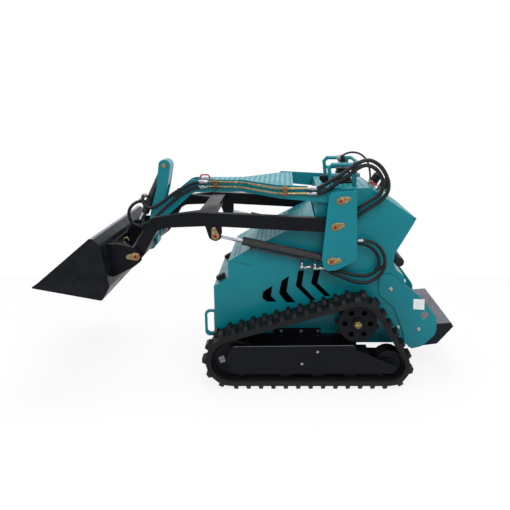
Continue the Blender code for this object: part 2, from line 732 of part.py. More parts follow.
def build_running_gear():
    place_pair(build_belt(), "track", "rubber", "chassis")
    build_sprocket()
    wheel_y = (TRACK_MIDDLE - WHEEL_HALF, TRACK_MIDDLE + WHEEL_HALF)
    place_pair(idler(FRONT_IDLER, wheel_y), "front_idler", "black_paint", "chassis")
    place_pair(idler(REAR_IDLER, wheel_y), "rear_idler", "black_paint", "chassis")

    (front, _), (rear, _) = FRONT_IDLER, REAR_IDLER
    inner_y, beam_y, cover_y = FRAME_RAIL_Y, (FRAME_RAIL_Y[0] + 0.008, COVER_Y[0] - SEAT), COVER_Y
    rail = flat(
        rounded(((front[0] + 0.04, front[1] + 0.035, 0.03), (rear[0] - 0.04, rear[1] + 0.045, 0.03),
                 (rear[0] - 0.04, rear[1] - 0.035, 0.03), (front[0] + 0.04, front[1] - 0.045, 0.03))),
        inner_y,
    )
    roller_z = BELT_FLOOR + ROLLER_R + SEAT
    rollers = [across((x, roller_z), (wheel_y[0] + 0.004, wheel_y[1] - 0.004), ROLLER_R) for x in ROLLER_X]
    shelf_y, shelf_z = BODY_Y + SEAT, BODY_BOTTOM + SEAT
    shelf = fuse(
        block((-0.600, shelf_y, shelf_z), (0.045, FRAME_RAIL_Y[1] + 0.004, 0.258)),
        block((-0.395, shelf_y, 0.240), (-0.125, shelf_y + 0.008, 0.290)),
        block((-0.580, FRAME_RAIL_Y[0] + 0.002, 0.150), (-0.100, FRAME_RAIL_Y[1] + 0.002, 0.230)),
    )
    frame = fuse(
        rail, block((-0.655, beam_y[0], 0.112), (-0.040, beam_y[1], 0.205)), shelf,
        *rollers,
        across(front, (inner_y[0] + 0.002, cover_y[0] - SEAT), AXLE_R),
        across(rear, (inner_y[0] + 0.002, cover_y[0] - SEAT), AXLE_R),
    )
    place_pair(frame, "track_frame", "black_paint", "chassis")

    cover = rounded((
        (0.110, 0.250, 0.02), (-0.578, 0.258, 0.01), (-0.582, 0.232), (-0.799, 0.142, 0.01), (-0.812, 0.113, 0.01),
        (-0.797, 0.094, 0.01), (0.098, 0.090, 0.02), (0.138, 0.178, 0.03),
    ))
    place_pair(flat(cover, cover_y), "track_cover", "black_paint", "chassis")


# Lift arm


def build_lift_arm():
    outline = rounded((
        (-0.500, 0.944, 0.036), (0.300, 0.982, 0.100), (0.535, 0.951, 0.030), (0.664, 0.742, 0.036),
        (0.622, 0.704, 0.030), (0.585, 0.742, 0.020), (0.506, 0.877, 0.020), (0.471, 0.897, 0.030),
        (0.243, 0.906), (0.222, 0.838, 0.020), (0.188, 0.820, 0.026), (0.157, 0.838, 0.020), (0.157, 0.903),
        (-0.500, 0.868, 0.036),
    ), steps=3)
    arm = flat(outline, ARM_Y, [bore(ARM_PIVOT, PIN_R)])
    slot_y = (CYLINDER_Y - LUG_GAP, CYLINDER_Y + LUG_GAP)
    slot = block((0.120, slot_y[0], 0.78), (0.262, slot_y[1], 0.926))
    arm = carve(arm, slot)
    beam = block((0.205, -0.002, 0.932), (0.290, ARM_Y[0] + 0.010, 0.970))
    gusset = level([(0.280, 0.235), (0.280, ARM_Y[0] + 0.006), (0.440, ARM_Y[0] + 0.006)], (0.955, 0.967))
    shaft = across(TIP_PIVOT, (-0.002, ARM_Y[0] + 0.010), ARM_SHAFT_R)
    tip_flag = flagged_pin(TIP_PIVOT, (0.664, 0.741), (ARM_Y[1] - 0.004, EAR_Y[1] + 0.001))
    eye_flag = flagged_pin(LIFT_EYE, (0.196, 0.888), (ARM_Y[1] - 0.004, ARM_Y[1] - 0.001))
    left = fuse(arm, beam, gusset, shaft, tip_flag, eye_flag)
    place(with_mirror(left), "lift_arm", "black_paint", "lift_arm")


def build_upper_link():
    """A channel: a tread-plate deck that narrows forward between two cheeks, then a fork down to the knuckle."""
    pivot, front = LINK_PIVOT, LINK_FRONT
    top, under = LINK_TOP, LINK_UNDER
    wide, narrow = LINK_Y[1], FORK_Y[1]
    wall = LINK_Y[1] - LINK_Y[0]
    x_fork, x_wide, x_narrow, x_deck_end = -0.235, -0.180, 0.060, 0.318

    rear = flat(
        rounded(((x_wide + 0.02, top + 0.006), (pivot[0] - 0.034, pivot[1] + 0.058, 0.034),
                 (pivot[0] - 0.034, pivot[1] - 0.032, 0.030), (x_wide + 0.02, under + 0.006)), steps=5),
        LINK_Y, [bore(pivot, PIN_R)],
    )
    cheek = level(
        [(x_wide, wide - 0.0004), (x_wide, wide - wall), (x_narrow, narrow - wall), (0.30, narrow - wall),
         (0.30, narrow - 0.0004), (x_narrow, narrow - 0.0004)],
        (under + 0.002, top - 0.002),
    )
    deck = level(
        [(x_fork, -0.001), (x_fork, wide - 0.001), (x_wide, wide - 0.001), (x_narrow, narrow - 0.001),
         (x_deck_end, narrow - 0.001), (x_deck_end, -0.001)],
        (top - DECK_T, top),
    )
    rear_flange = block((x_fork, -0.001, top - 0.040), (x_fork + DECK_T, LINK_Y[0] + 0.004, top - 0.002))
    fork = flat(
        rounded(((0.270, top), (0.372, top, 0.070), (0.502, 1.010, 0.060), (front[0] + 0.030, front[1] + 0.012, 0.024),
                 (front[0] - 0.002, front[1] - 0.031, 0.024), (front[0] - 0.050, front[1] - 0.012, 0.020),
                 (0.352, under, 0.060), (0.270, under)), steps=3),
        FORK_Y, [bore(front, PIN_R)],
    )
    left = fuse(fuse(deck, rear_flange), cheek, rear, fork)
    place(with_mirror(left), "upper_link", "teal_paint", "upper_link")

    plan = (PIPE_REAR, (-0.180, 0.372), (-0.150, 0.362), (-0.120, 0.332), (0.035, 0.148), (0.070, 0.115),
            (0.110, 0.0965), PIPE_FRONT)
    lines = [tube([(x, y, z) for x, y in plan], PIPE_R, 1, smooth=2) for z in PIPE_Z]
    clamps = [block((x - 0.012, face, PIPE_Z[1] - CLAMP_REACH), (x + 0.012, face + 0.026, PIPE_Z[0] + CLAMP_REACH))
              for x, face in ((0.215, FORK_Y[1] + SEAT), (-0.190, LINK_Y[1] + SEAT))]
    pipes = fuse(clamps[0], lines[0], lines[1], clamps[1])
    place(pipes, "link_pipes", "yellow_zinc", "upper_link")

    handle = tube([(0.258, 0.045, top + SEAT), (0.258, 0.045, top + 0.016), (0.268, 0.045, top + 0.026),
                   (0.302, 0.045, top + 0.026), (0.312, 0.045, top + 0.016), (0.312, 0.045, top + SEAT)], 0.005)
    place(handle, "link_handle", "red_plastic", "upper_link")


def build_knuckle():
    head = [turn_about(TILT_TOP, KNUCKLE_HEAD_R, 190 - 200 * step / 6) for step in range(7)]
    plate = flat(
        rounded((*head, (0.575, 1.056, 0.2), (0.606, 0.960, 0.2), (0.655, 0.735, 0.06),
                 (0.640, 0.690, 0.028), (0.604, 0.696, 0.028), (0.582, 0.760, 0.05), (0.551, 0.918),
                 (0.508, 1.074, 0.2)), steps=3),
        KNUCKLE_Y,
    )
    cap = [turn_about(TILT_TOP, KNUCKLE_HEAD_R - 0.0005, 10 + 180 * step / 6) for step in range(7)]
    wrap = folded_sheet((*cap, (0.5090, 1.080)), (-0.001, KNUCKLE_Y[0] + 0.002), 0.004)
    sleeve = across(TIP_PIVOT, (-0.001, KNUCKLE_Y[0] + 0.004), 0.040)
    top_pin = across(TILT_TOP, (-0.001, KNUCKLE_Y[1] + 0.006), PIN_R)
    link_pin = across(LINK_FRONT, (-0.001, FORK_Y[1] + 0.010), PIN_R)
    bored = carve(fuse(plate, sleeve), flat(bore(TIP_PIVOT, ARM_SHAFT_R), (-0.10, 0.10)))
    place(with_mirror(fuse(bored, wrap, top_pin, link_pin)), "knuckle", "teal_paint", "knuckle")


# Bucket


def build_bucket():
    bends = (BUCKET_LIP, (*BUCKET_HEEL, 0.014), (*BUCKET_BACK[0], 0.016), (*BUCKET_BACK[1], 0.020), BUCKET_TOP)
    outer = rounded(bends, steps=3)
    shell = folded_sheet(outer[::-1], (-BUCKET_HALF + 0.003, BUCKET_HALF - 0.003), BUCKET_T)
    end = flat(
        rounded((*bends, (BUCKET_TOP[0] + 0.020, BUCKET_TOP[1] + 0.002)), steps=3),
        (BUCKET_HALF - BUCKET_SIDE_T, BUCKET_HALF),
    )
    other = mirrored(end)
    rail = flat(
        [BUCKET_TOP, (BUCKET_TOP[0] - 0.006, BUCKET_TOP[1] - 0.060), (BUCKET_TOP[0] + 0.002, BUCKET_TOP[1] - 0.062),
         (BUCKET_TOP[0] + 0.020, BUCKET_TOP[1] - 0.002)],
        (-BUCKET_HALF + 0.004, BUCKET_HALF - 0.004),
    )
    edge = flat(
        [BUCKET_LIP, (BUCKET_LIP[0] - 0.100, BUCKET_LIP[1] - 0.0191), (BUCKET_LIP[0] - 0.102, BUCKET_LIP[1] - 0.0085),
         (BUCKET_LIP[0] - 0.012, BUCKET_LIP[1] + 0.0085)],
        (-BUCKET_HALF + 0.004, BUCKET_HALF - 0.004),
    )
    place(fuse(shell, end, other, rail, edge), "bucket", "black_paint", "bucket")


def bucket_back(z):
    """The x of the bucket's flat back face at a height."""
    (x0, z0), (x1, z1) = BUCKET_BACK
    return x0 + (x1 - x0) * (z - z0) / (z1 - z0)


def build_coupler():
    """The quick-attach plate flat against the bucket's back, with ears for the arms' tip pins."""
    low, high, plate_t = 0.640, 0.800, 0.014
    foot, top = (bucket_back(low) - 2 * SEAT, low), (bucket_back(high) - 2 * SEAT, high)
    plate = flat([top, (top[0] - plate_t, top[1]), (foot[0] - plate_t, foot[1]), foot], (-0.002, EAR_Y[0] + 0.004))
    ear = flat(
        rounded(((TIP_PIVOT[0] - 0.004, TIP_PIVOT[1] + 0.044, 0.036), (TIP_PIVOT[0] - 0.042, TIP_PIVOT[1] - 0.016, 0.034),
                 (0.640, 0.682, 0.020), (bucket_back(0.628) - 3 * SEAT, 0.628), (bucket_back(0.812) - 3 * SEAT, 0.812),
                 (0.715, 0.812, 0.02)), steps=4),
        EAR_Y, [bore(TIP_PIVOT, PIN_R)],
    )
    lug = flat(
        rounded(((TILT_EYE[0] - 0.024, TILT_EYE[1] + 0.026, 0.022), (TILT_EYE[0] - 0.020, 0.800, 0.02),
                 (foot[0] - 0.006, 0.700), (top[0] - 0.006, 0.790), (TILT_EYE[0] + 0.026, TILT_EYE[1] + 0.024, 0.022)),
                steps=4),
        (LUG_GAP, LUG_GAP + 0.012),
    )
    place(with_mirror(fuse(plate, ear, lug)), "coupler", "black_paint", "bucket")


# Cylinders


def cylinder_barrel(base, eye, gland, radius, y, eye_radius):
    """A barrel from its base eye to its gland; its port boss is under it."""
    mouth = along(base, eye, gland)
    foot = along(base, eye, eye_radius)
    eye_width = (y - EYE_HALF, y + EYE_HALF)
    return fuse(
        rod((foot[0], y, foot[1]), (mouth[0], y, mouth[1]), radius),
        across(base, eye_width, eye_radius),
        rod((base[0], y, base[1]), (foot[0] * 0.9 + mouth[0] * 0.1, y, foot[1] * 0.9 + mouth[1] * 0.1), EYE_HALF - 0.001),
    )


def lift_ports():
    """Two ports under a lift barrel, each with a nut that faces rearward, and the pipe that feeds the gland end."""
    ports = []
    for x, y in LIFT_PORTS:
        axis_z = LIFT_BASE[1] + (x - LIFT_BASE[0]) * LIFT_SLOPE
        ports.append(rod((x, y, axis_z), (x, y, LIFT_PORT_Z - 0.008), 0.0075, sides=8))
        ports.append(rod((x - PORT_NUT, y, LIFT_PORT_Z), (x + 0.009, y, LIFT_PORT_Z), 0.0100, sides=6))
    (x, y), far = LIFT_PORTS[1], along(LIFT_BASE, LIFT_EYE, LIFT_GLAND - 0.045)
    near_z = LIFT_BASE[1] + (x - LIFT_BASE[0]) * LIFT_SLOPE - FEED_DROP
    feed = rod((x - 0.002, y, near_z), (far[0] + 0.006, y, far[1] - FEED_DROP), PIPE_R, sides=8)
    elbow = rod((far[0], y, far[1] - FEED_DROP - 0.010), (far[0], y, far[1] - 0.004), 0.0085, sides=10)
    return [*ports, feed, elbow]


def build_lift_cylinders():
    barrel = cylinder_barrel(LIFT_BASE, LIFT_EYE, LIFT_GLAND, LIFT_BARREL_R, CYLINDER_Y, 0.026)
    barrel = fuse(barrel, *lift_ports())
    mouth = along(LIFT_BASE, LIFT_EYE, LIFT_GLAND + 0.01)
    start = along(LIFT_BASE, LIFT_EYE, 0.200)
    inside = rod((start[0], CYLINDER_Y, start[1]), (mouth[0], CYLINDER_Y, mouth[1]), LIFT_ROD_R + PIN_PLAY,
                 sides=facets(LIFT_ROD_R))
    barrel = carve(barrel, inside, flat(bore(LIFT_BASE, PIN_R), (0.36, 0.43)))
    place_pair(barrel, "lift_barrel", "black_paint", "lift_barrel", body_is_paired=True)

    inner = along(LIFT_BASE, LIFT_EYE, 0.310)
    near = along(LIFT_EYE, LIFT_BASE, 0.010)
    piston = fuse(
        rod((inner[0], CYLINDER_Y, inner[1]), (near[0], CYLINDER_Y, near[1]), LIFT_ROD_R),
        across(LIFT_EYE, (CYLINDER_Y - EYE_HALF, CYLINDER_Y + EYE_HALF), LIFT_EYE_R),
        across(LIFT_EYE, (CYLINDER_Y - LUG_GAP + SEAT, CYLINDER_Y + LUG_GAP - SEAT), PIN_R),
    )
    place_pair(piston, "lift_rod", "bright_steel", "lift_rod", body_is_paired=True)


def tip_port(distance, out):
    """Where a port of the tilt barrel stands, as (x, z): some way down the barrel and out of its front."""
    foot = Vector(along(TILT_TOP, TILT_EYE, distance))
    down = (Vector(TILT_EYE) - Vector(TILT_TOP)).normalized()
    return tuple(foot + Vector((-down.y, down.x)) * out)


def build_tilt_cylinder():
    barrel = cylinder_barrel(TILT_TOP, TILT_EYE, TILT_GLAND, TILT_BARREL_R, 0.0, 0.018)
    ports = []
    for distance, out in TIP_PORTS:
        foot, end = along(TILT_TOP, TILT_EYE, distance), tip_port(distance, out)
        ports.append(rod((foot[0], 0, foot[1]), (end[0], 0, end[1]), 0.0085, sides=8))
        ports.append(rod((end[0], -0.010, end[1]), (end[0], TIP_PORT_Y, end[1]), 0.0100, sides=6))
    barrel = fuse(barrel, *ports)
    mouth = along(TILT_TOP, TILT_EYE, TILT_GLAND + 0.01)
    start = along(TILT_TOP, TILT_EYE, 0.120)
    inside = rod((start[0], 0, start[1]), (mouth[0], 0, mouth[1]), TILT_ROD_R + PIN_PLAY, sides=facets(TILT_ROD_R))
    barrel = carve(barrel, inside, flat(bore(TILT_TOP, PIN_R), (-0.05, 0.05)))
    place(barrel, "tilt_barrel", "black_paint", "tilt_barrel")

    inner = along(TILT_TOP, TILT_EYE, 0.160)
    near = along(TILT_EYE, TILT_TOP, 0.010)
    piston = fuse(rod((inner[0], 0, inner[1]), (near[0], 0, near[1]), TILT_ROD_R),
                  across(TILT_EYE, (-EYE_HALF, EYE_HALF), TILT_EYE_R),
                  across(TILT_EYE, (-LUG_GAP + SEAT, LUG_GAP - SEAT), PIN_R))
    place(piston, "tilt_rod", "bright_steel", "tilt_rod")


# Hoses


def hose_pair(routes, radius, clip):
    """Two hoses along chosen points, with a round clip between them after this many points of each."""
    ends = []
    for points, at in zip(routes, clip):
        ends.append(Vector(points[at]).lerp(Vector(points[at + 1]), 0.4))
    return fuse(tube(routes[0], radius, 1), tube(routes[1], radius, 1), rod(*ends, 0.0055, sides=6))


def build_hoses():
    """Each route is chosen by hand, as (x, z) in the plane of its y, with its last bend as (x, y, z)."""
    (x, y), (high, low), plate = PIPE_REAR, PIPE_Z, BODY_Y + SEAT
    outer = [(x - SEAT, y, high), (-0.354, y, high), (-0.395, y + 0.008, 1.121)]
    outer += [(x, 0.385, z) for x, z in (
        (-0.443, 1.153), (-0.501, 1.188), (-0.548, 1.223), (-0.590, 1.249), (-0.638, 1.260), (-0.686, 1.238),
        (-0.720, 1.201), (-0.743, 1.153), (-0.748, 1.110), (-0.736, 1.072), (-0.700, 1.034), (-0.657, 1.006),
        (-0.609, 0.973), (-0.572, 0.946), (-0.552, 0.937),
    )]
    outer += [(-0.539, 0.377, 0.933), (-0.534, 0.360, 0.932), (-0.534, plate, 0.932)]
    inner = [(x - SEAT, y, low), (-0.354, y, low), (-0.400, y + 0.008, 1.087)]
    inner += [(x, 0.385, z) for x, z in (
        (-0.443, 1.115), (-0.491, 1.148), (-0.538, 1.183), (-0.580, 1.215), (-0.623, 1.231), (-0.666, 1.219),
        (-0.699, 1.185), (-0.717, 1.142), (-0.713, 1.099), (-0.693, 1.067), (-0.656, 1.045), (-0.608, 1.012),
        (-0.572, 0.982), (-0.556, 0.972),
    )]
    inner += [(-0.546, 0.377, 0.968), (-0.541, 0.360, 0.967), (-0.541, plate, 0.967)]
    place(hose_pair((outer, inner), LINK_HOSE_R, (5, 5)), "link_hoses", "rubber", "upper_link")

    (x_high, y_high), (x_low, y_low) = LIFT_PORTS
    outer = [(-0.512, plate, 0.823), (-0.512, 0.368, 0.823), (-0.519, 0.392, 0.823)]
    outer += [(x, y_high, z) for x, z in (
        (-0.540, 0.823), (-0.601, 0.824), (-0.645, 0.821), (-0.695, 0.798), (-0.730, 0.753), (-0.743, 0.702),
        (-0.729, 0.644), (-0.691, 0.604), (-0.636, 0.583), (-0.580, 0.589), (-0.524, 0.609), (-0.451, 0.640),
        (-0.418, 0.657), (-0.396, LIFT_PORT_Z), (x_high - PORT_NUT - SEAT, LIFT_PORT_Z),
    )]
    inner = [(-0.5335, plate, 0.800), (-0.5335, 0.360, 0.800), (-0.541, 0.375, 0.800)]
    inner += [(x, y_low, z) for x, z in (
        (-0.558, 0.801), (-0.602, 0.802), (-0.646, 0.790), (-0.688, 0.759), (-0.712, 0.713), (-0.710, 0.668),
        (-0.685, 0.635), (-0.641, 0.618), (-0.585, 0.621), (-0.529, 0.634), (-0.473, 0.648), (-0.412, 0.660),
        (-0.350, 0.667), (x_low - PORT_NUT - SEAT, LIFT_PORT_Z),
    )]
    place_pair(hose_pair((outer, inner), LIFT_HOSE_R, (8, 8)), "lift_hoses", "rubber", "lift_barrel",
               body_is_paired=True)

    (x, y), (upper, lower) = PIPE_FRONT, [tip_port(*port) for port in TIP_PORTS]
    outer = [(x + SEAT, y, high), (x + 0.016, y, high)]
    outer += [(x, 0.096, z) for x, z in (
        (0.322, 1.104), (0.348, 1.098), (0.379, 1.085), (0.415, 1.067), (0.463, 1.041), (0.512, 1.004),
        (0.567, 0.966), (0.600, 0.953), (0.627, 0.957),
    )]
    outer += [(0.645, 0.091, 0.975), (0.655, 0.078, 0.999), (upper[0], 0.060, upper[1]),
              (upper[0], TIP_PORT_Y + SEAT, upper[1])]
    inner = [(x + SEAT, y, low), (x + 0.016, y, low)]
    inner += [(x, 0.096, z) for x, z in (
        (0.322, 1.074), (0.352, 1.066), (0.392, 1.049), (0.440, 1.018), (0.489, 0.978), (0.551, 0.925),
        (0.601, 0.881), (0.644, 0.856), (0.687, 0.847), (0.720, 0.864), (0.736, 0.903),
    )]
    inner += [(0.734, 0.093, 0.938), (0.716, 0.086, 0.966), (0.694, 0.074, 0.982), (lower[0], 0.058, lower[1]),
              (lower[0], TIP_PORT_Y + SEAT, lower[1])]
    place(hose_pair((outer, inner), TIP_HOSE_R, (5, 4)), "tip_hoses", "rubber", "upper_link")


# Body empties, each on its joint's axis: name, parent, (x, z), y
PIVOTS = (
    ("chassis", None, (0.0, 0.0), 0.0),
    ("lift_arm", "chassis", ARM_PIVOT, 0.0),
    ("upper_link", "chassis", LINK_PIVOT, 0.0),
    ("knuckle", "upper_link", LINK_FRONT, 0.0),
    ("bucket", "knuckle", TIP_PIVOT, 0.0),
    ("tilt_barrel", "knuckle", TILT_TOP, 0.0),
    ("tilt_rod", "tilt_barrel", TILT_EYE, 0.0),
    ("lift_barrel_left", "chassis", LIFT_BASE, CYLINDER_Y),
    ("lift_rod_left", "lift_barrel_left", LIFT_EYE, CYLINDER_Y),
    ("lift_barrel_right", "chassis", LIFT_BASE, -CYLINDER_Y),
    ("lift_rod_right", "lift_barrel_right", LIFT_EYE, -CYLINDER_Y),
)


def make_pivots():
    made = {}
    for name, parent, (x, z), y in PIVOTS:
        empty = bpy.data.objects.new(f"{name}_pivot", None)
        LOADER.objects.link(empty)
        empty.empty_display_size = 0.05
        empty.matrix_world = Matrix.Translation((x, y, z))
        if parent:
            empty.parent = made[parent]
            empty.matrix_parent_inverse = made[parent].matrix_world.inverted()
        bpy.context.view_layer.update()
        made[name] = empty
    return made


clear_scene()
LOADER = new_collection("mini_skid_steer_loader")
WORKSHOP = new_collection("workshop")
BODIES = make_pivots()

build_body()
build_tower()
build_rear()
build_front_fittings()
build_controls()
build_running_gear()
build_lift_arm()
build_upper_link()
build_knuckle()
build_bucket()
build_coupler()
build_lift_cylinders()
build_tilt_cylinder()
build_hoses()
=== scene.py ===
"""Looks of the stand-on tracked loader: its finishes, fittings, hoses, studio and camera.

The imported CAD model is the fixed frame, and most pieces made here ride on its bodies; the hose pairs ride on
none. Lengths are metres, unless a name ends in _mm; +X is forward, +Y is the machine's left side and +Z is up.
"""

from __future__ import annotations

import json
import logging
import math
from collections.abc import Callable, Iterable, Sequence
from dataclasses import dataclass
from enum import Enum

import bmesh
import bpy
from mathutils import Matrix, Vector


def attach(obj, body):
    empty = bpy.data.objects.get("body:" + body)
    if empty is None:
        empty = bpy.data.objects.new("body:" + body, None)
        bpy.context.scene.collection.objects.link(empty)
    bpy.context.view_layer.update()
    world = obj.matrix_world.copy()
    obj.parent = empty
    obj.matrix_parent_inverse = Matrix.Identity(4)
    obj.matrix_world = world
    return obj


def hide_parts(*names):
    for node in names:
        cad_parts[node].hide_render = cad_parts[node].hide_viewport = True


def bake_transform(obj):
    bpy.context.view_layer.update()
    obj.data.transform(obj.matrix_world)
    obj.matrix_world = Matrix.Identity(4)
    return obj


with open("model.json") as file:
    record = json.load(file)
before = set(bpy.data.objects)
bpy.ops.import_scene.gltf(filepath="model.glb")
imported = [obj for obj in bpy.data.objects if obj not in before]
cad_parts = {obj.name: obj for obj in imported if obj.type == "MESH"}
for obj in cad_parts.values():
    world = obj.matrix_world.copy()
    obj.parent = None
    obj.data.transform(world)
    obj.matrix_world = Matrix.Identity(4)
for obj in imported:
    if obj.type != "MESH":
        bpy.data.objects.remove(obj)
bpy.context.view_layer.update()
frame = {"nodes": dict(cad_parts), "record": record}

log = logging.getLogger("loader")

Flat = tuple[float, float]
Outline = tuple[Flat, ...]
Point = tuple[float, float, float]
Socket = bpy.types.NodeSocket
SIDES = (1, -1)
AHEAD: Point = (1, 0, 0)
BACK: Point = (-1, 0, 0)
OUTWARD: Point = (0, 1, 0)
UP: Point = (0, 0, 1)
MM = 0.001
# Flats that make a turned piece look round, and a nut's six.
ROUND = 20
HEXAGON = 6


class Body(str, Enum):
    """The CAD bodies that pieces ride on."""

    CHASSIS = "chassis"
    ARM = "lift_arm"
    LINK = "upper_link"
    KNUCKLE = "knuckle"
    BUCKET = "bucket"
    TILT_BARREL = "tilt_barrel"
    LIFT_BARREL_LEFT = "lift_barrel_left"
    LIFT_BARREL_RIGHT = "lift_barrel_right"


class Slot(str, Enum):
    """The record's material slots."""

    TEAL = "teal_paint"
    BLACK = "black_paint"
    RUBBER = "rubber"
    STEEL = "bright_steel"
    ZINC = "yellow_zinc"
    PLASTIC = "black_plastic"
    RED = "red_plastic"


# Materials

# The Mix node's sockets where it mixes colours: its share, the colours below and above, its result.
SHARE, BELOW, ABOVE, MIXED = 0, 6, 7, 2


def linear(colour: str) -> tuple[float, float, float, float]:
    """Turns an sRGB hex value into the linear colour that a shader takes.

    Args:
        colour: Six hex digits with a leading hash sign.

    Returns:
        Linear red, green and blue, and an alpha of 1.
    """
    parts = (int(colour[i : i + 2], 16) / 255 for i in (1, 3, 5))
    red, green, blue = (p / 12.92 if p <= 0.04045 else ((p + 0.055) / 1.055) ** 2.4 for p in parts)
    return red, green, blue, 1.0


def per_metre(size_mm: float) -> float:
    """Returns the texture scale at which one feature is size_mm wide."""
    return 1000.0 / size_mm


def add_node(
    tree: bpy.types.NodeTree, kind: str, inputs: dict[int | str, object] | None = None, **settings: object
) -> bpy.types.Node:
    """Adds one shader node.

    Args:
        tree: The material's or world's node tree.
        kind: The node's type name without its ShaderNode prefix.
        inputs: Input socket to the output socket that feeds it, or to its own value.
        **settings: Attributes to set on the node itself.

    Returns:
        The new node.
    """
    node = tree.nodes.new(f"ShaderNode{kind}")
    for name, setting in settings.items():
        setattr(node, name, setting)
    for socket, source in (inputs or {}).items():
        if isinstance(source, Socket):
            tree.links.new(source, node.inputs[socket])
        else:
            node.inputs[socket].default_value = source
    return node


@dataclass(frozen=True)
class Canvas:
    """What a finish is drawn on: its node tree, its principled shader, and the place in metres."""

    tree: bpy.types.NodeTree
    shader: bpy.types.Node
    place: Socket


@dataclass(frozen=True)
class Finish:
    """A material made of one real surface: a base colour, its broad mottle and its fine grain.

    The mottle is the slow change of colour across a surface, and the grain is its relief. A range is
    the stretch of the noise that a change runs over.
    """

    name: str
    colour: str
    roughness: float
    metallic: float = 0.0
    specular: float = 0.5
    coat: float = 0.0
    coat_roughness: float = 0.08
    mottle: str | None = None
    mottle_mm: float = 180.0
    mottle_share: float = 0.5
    mottle_range: Flat = (0.38, 0.68)
    grain_mm: float = 3.0
    grain_depth_mm: float = 0.1
    stretch: Point = (1.0, 1.0, 1.0)
    roughness_spread: float = 0.08
    roughness_range: Flat = (0.3, 0.7)
    least_roughness: float = 0.02
    dust: str | None = None
    dust_top: float = 0.30
    dust_share: float = 0.55
    dust_mm: float = 35.0

    def make(self) -> bpy.types.Material:
        """Builds the material, or finds it where an earlier piece has it.

        Returns:
            The finished material.
        """
        made = bpy.data.materials.get(self.name)
        if made is not None:
            return made
        made = bpy.data.materials.new(self.name)
        made.use_nodes = True
        tree = made.node_tree
        shader = tree.nodes["Principled BSDF"]
        for socket, value in (
            ("Metallic", self.metallic),
            ("Specular IOR Level", self.specular),
            ("Coat Weight", self.coat),
            ("Coat Roughness", self.coat_roughness),
        ):
            shader.inputs[socket].default_value = value
        place = add_node(tree, "TexCoord").outputs["Object"]
        place = add_node(tree, "Mapping", {"Vector": place, "Scale": self.stretch}).outputs[0]
        canvas = Canvas(tree, shader, place)
        self.colour_in(canvas)
        self.relief_in(canvas)
        return made

    def colour_in(self, canvas: Canvas) -> None:
        """Feeds the base colour and the roughness from slow noise.

        Args:
            canvas: What the finish is drawn on.
        """
        tree, shader = canvas.tree, canvas.shader
        slow = add_node(
            tree, "TexNoise",
            {"Vector": canvas.place, "Scale": per_metre(self.mottle_mm), "Detail": 5.0, "Roughness": 0.6},
        ).outputs["Fac"]
        low, high = self.mottle_range
        share = add_node(
            tree, "MapRange", {"Value": slow, "From Min": low, "From Max": high, "To Max": self.mottle_share}
        ).outputs["Result"]
        colours = {BELOW: linear(self.colour), ABOVE: linear(self.mottle or self.colour)}
        tone = add_node(tree, "Mix", {SHARE: share, **colours}, data_type="RGBA").outputs[MIXED]
        if self.dust is not None:
            tone = self.dusted(canvas, tone)
        tree.links.new(tone, shader.inputs["Base Color"])
        low, high = self.roughness_range
        least = max(self.roughness - self.roughness_spread, self.least_roughness)
        most = self.roughness + self.roughness_spread
        gloss = add_node(
            tree, "MapRange",
            {"Value": slow, "From Min": low, "From Max": high, "To Min": least, "To Max": most},
        ).outputs["Result"]
        tree.links.new(gloss, shader.inputs["Roughness"])

    def dusted(self, canvas: Canvas, tone: Socket) -> Socket:
        """Lays a thin film of dust on a colour, thicker towards the ground.

        Args:
            canvas: What the finish is drawn on.
            tone: The clean colour.

        Returns:
            The dusted colour.
        """
        tree = canvas.tree
        height = add_node(tree, "SeparateXYZ", {"Vector": canvas.place}).outputs["Z"]
        low = add_node(
            tree, "MapRange",
            {"Value": height, "From Min": self.dust_top, "From Max": 0.0, "To Max": self.dust_share},
        ).outputs["Result"]
        patch = add_node(
            tree, "TexNoise",
            {"Vector": canvas.place, "Scale": per_metre(self.dust_mm), "Detail": 6.0, "Roughness": 0.7},
        ).outputs["Fac"]
        film = add_node(tree, "Math", {0: low, 1: patch}, operation="MULTIPLY").outputs[0]
        dust = linear(self.dust or self.colour)
        return add_node(tree, "Mix", {SHARE: film, BELOW: tone, ABOVE: dust}, data_type="RGBA").outputs[MIXED]

    def relief_in(self, canvas: Canvas) -> None:
        """Feeds the normal from the grain.

        Args:
            canvas: What the finish is drawn on.
        """
        tree = canvas.tree
        grain = add_node(
            tree, "TexNoise",
            {"Vector": canvas.place, "Scale": per_metre(self.grain_mm), "Detail": 2.0, "Roughness": 0.5},
        ).outputs["Fac"]
        bump = add_node(tree, "Bump", {"Height": grain, "Strength": 1.0, "Distance": self.grain_depth_mm * MM})
        tree.links.new(bump.outputs["Normal"], canvas.shader.inputs["Normal"])


@dataclass(frozen=True)
class Plating(Finish):
    """Yellow chromate on zinc: a metal whose thin film drifts between straw, rose and green."""

    film: tuple[str, ...] = ("#94845a", "#86704a", "#747150", "#bfae84")
    film_range: Flat = (0.35, 0.65)

    def colour_in(self, canvas: Canvas) -> None:
        """Feeds the film's colours from noise through a ramp.

        Args:
            canvas: What the finish is drawn on.
        """
        noise = add_node(
            canvas.tree, "TexNoise",
            {"Vector": canvas.place, "Scale": per_metre(self.mottle_mm), "Detail": 3.0, "Distortion": 0.6},
        )
        ramp = add_node(canvas.tree, "ValToRGB", {"Fac": noise.outputs["Fac"]})
        stops = ramp.color_ramp.elements
        first, last = self.film_range
        while len(stops) < len(self.film):
            stops.new((first + last) / 2)
        for i, colour in enumerate(self.film):
            stops[i].position = first + (last - first) * i / (len(self.film) - 1)
            stops[i].color = linear(colour)
        canvas.tree.links.new(ramp.outputs["Color"], canvas.shader.inputs["Base Color"])
        canvas.shader.inputs["Roughness"].default_value = self.roughness


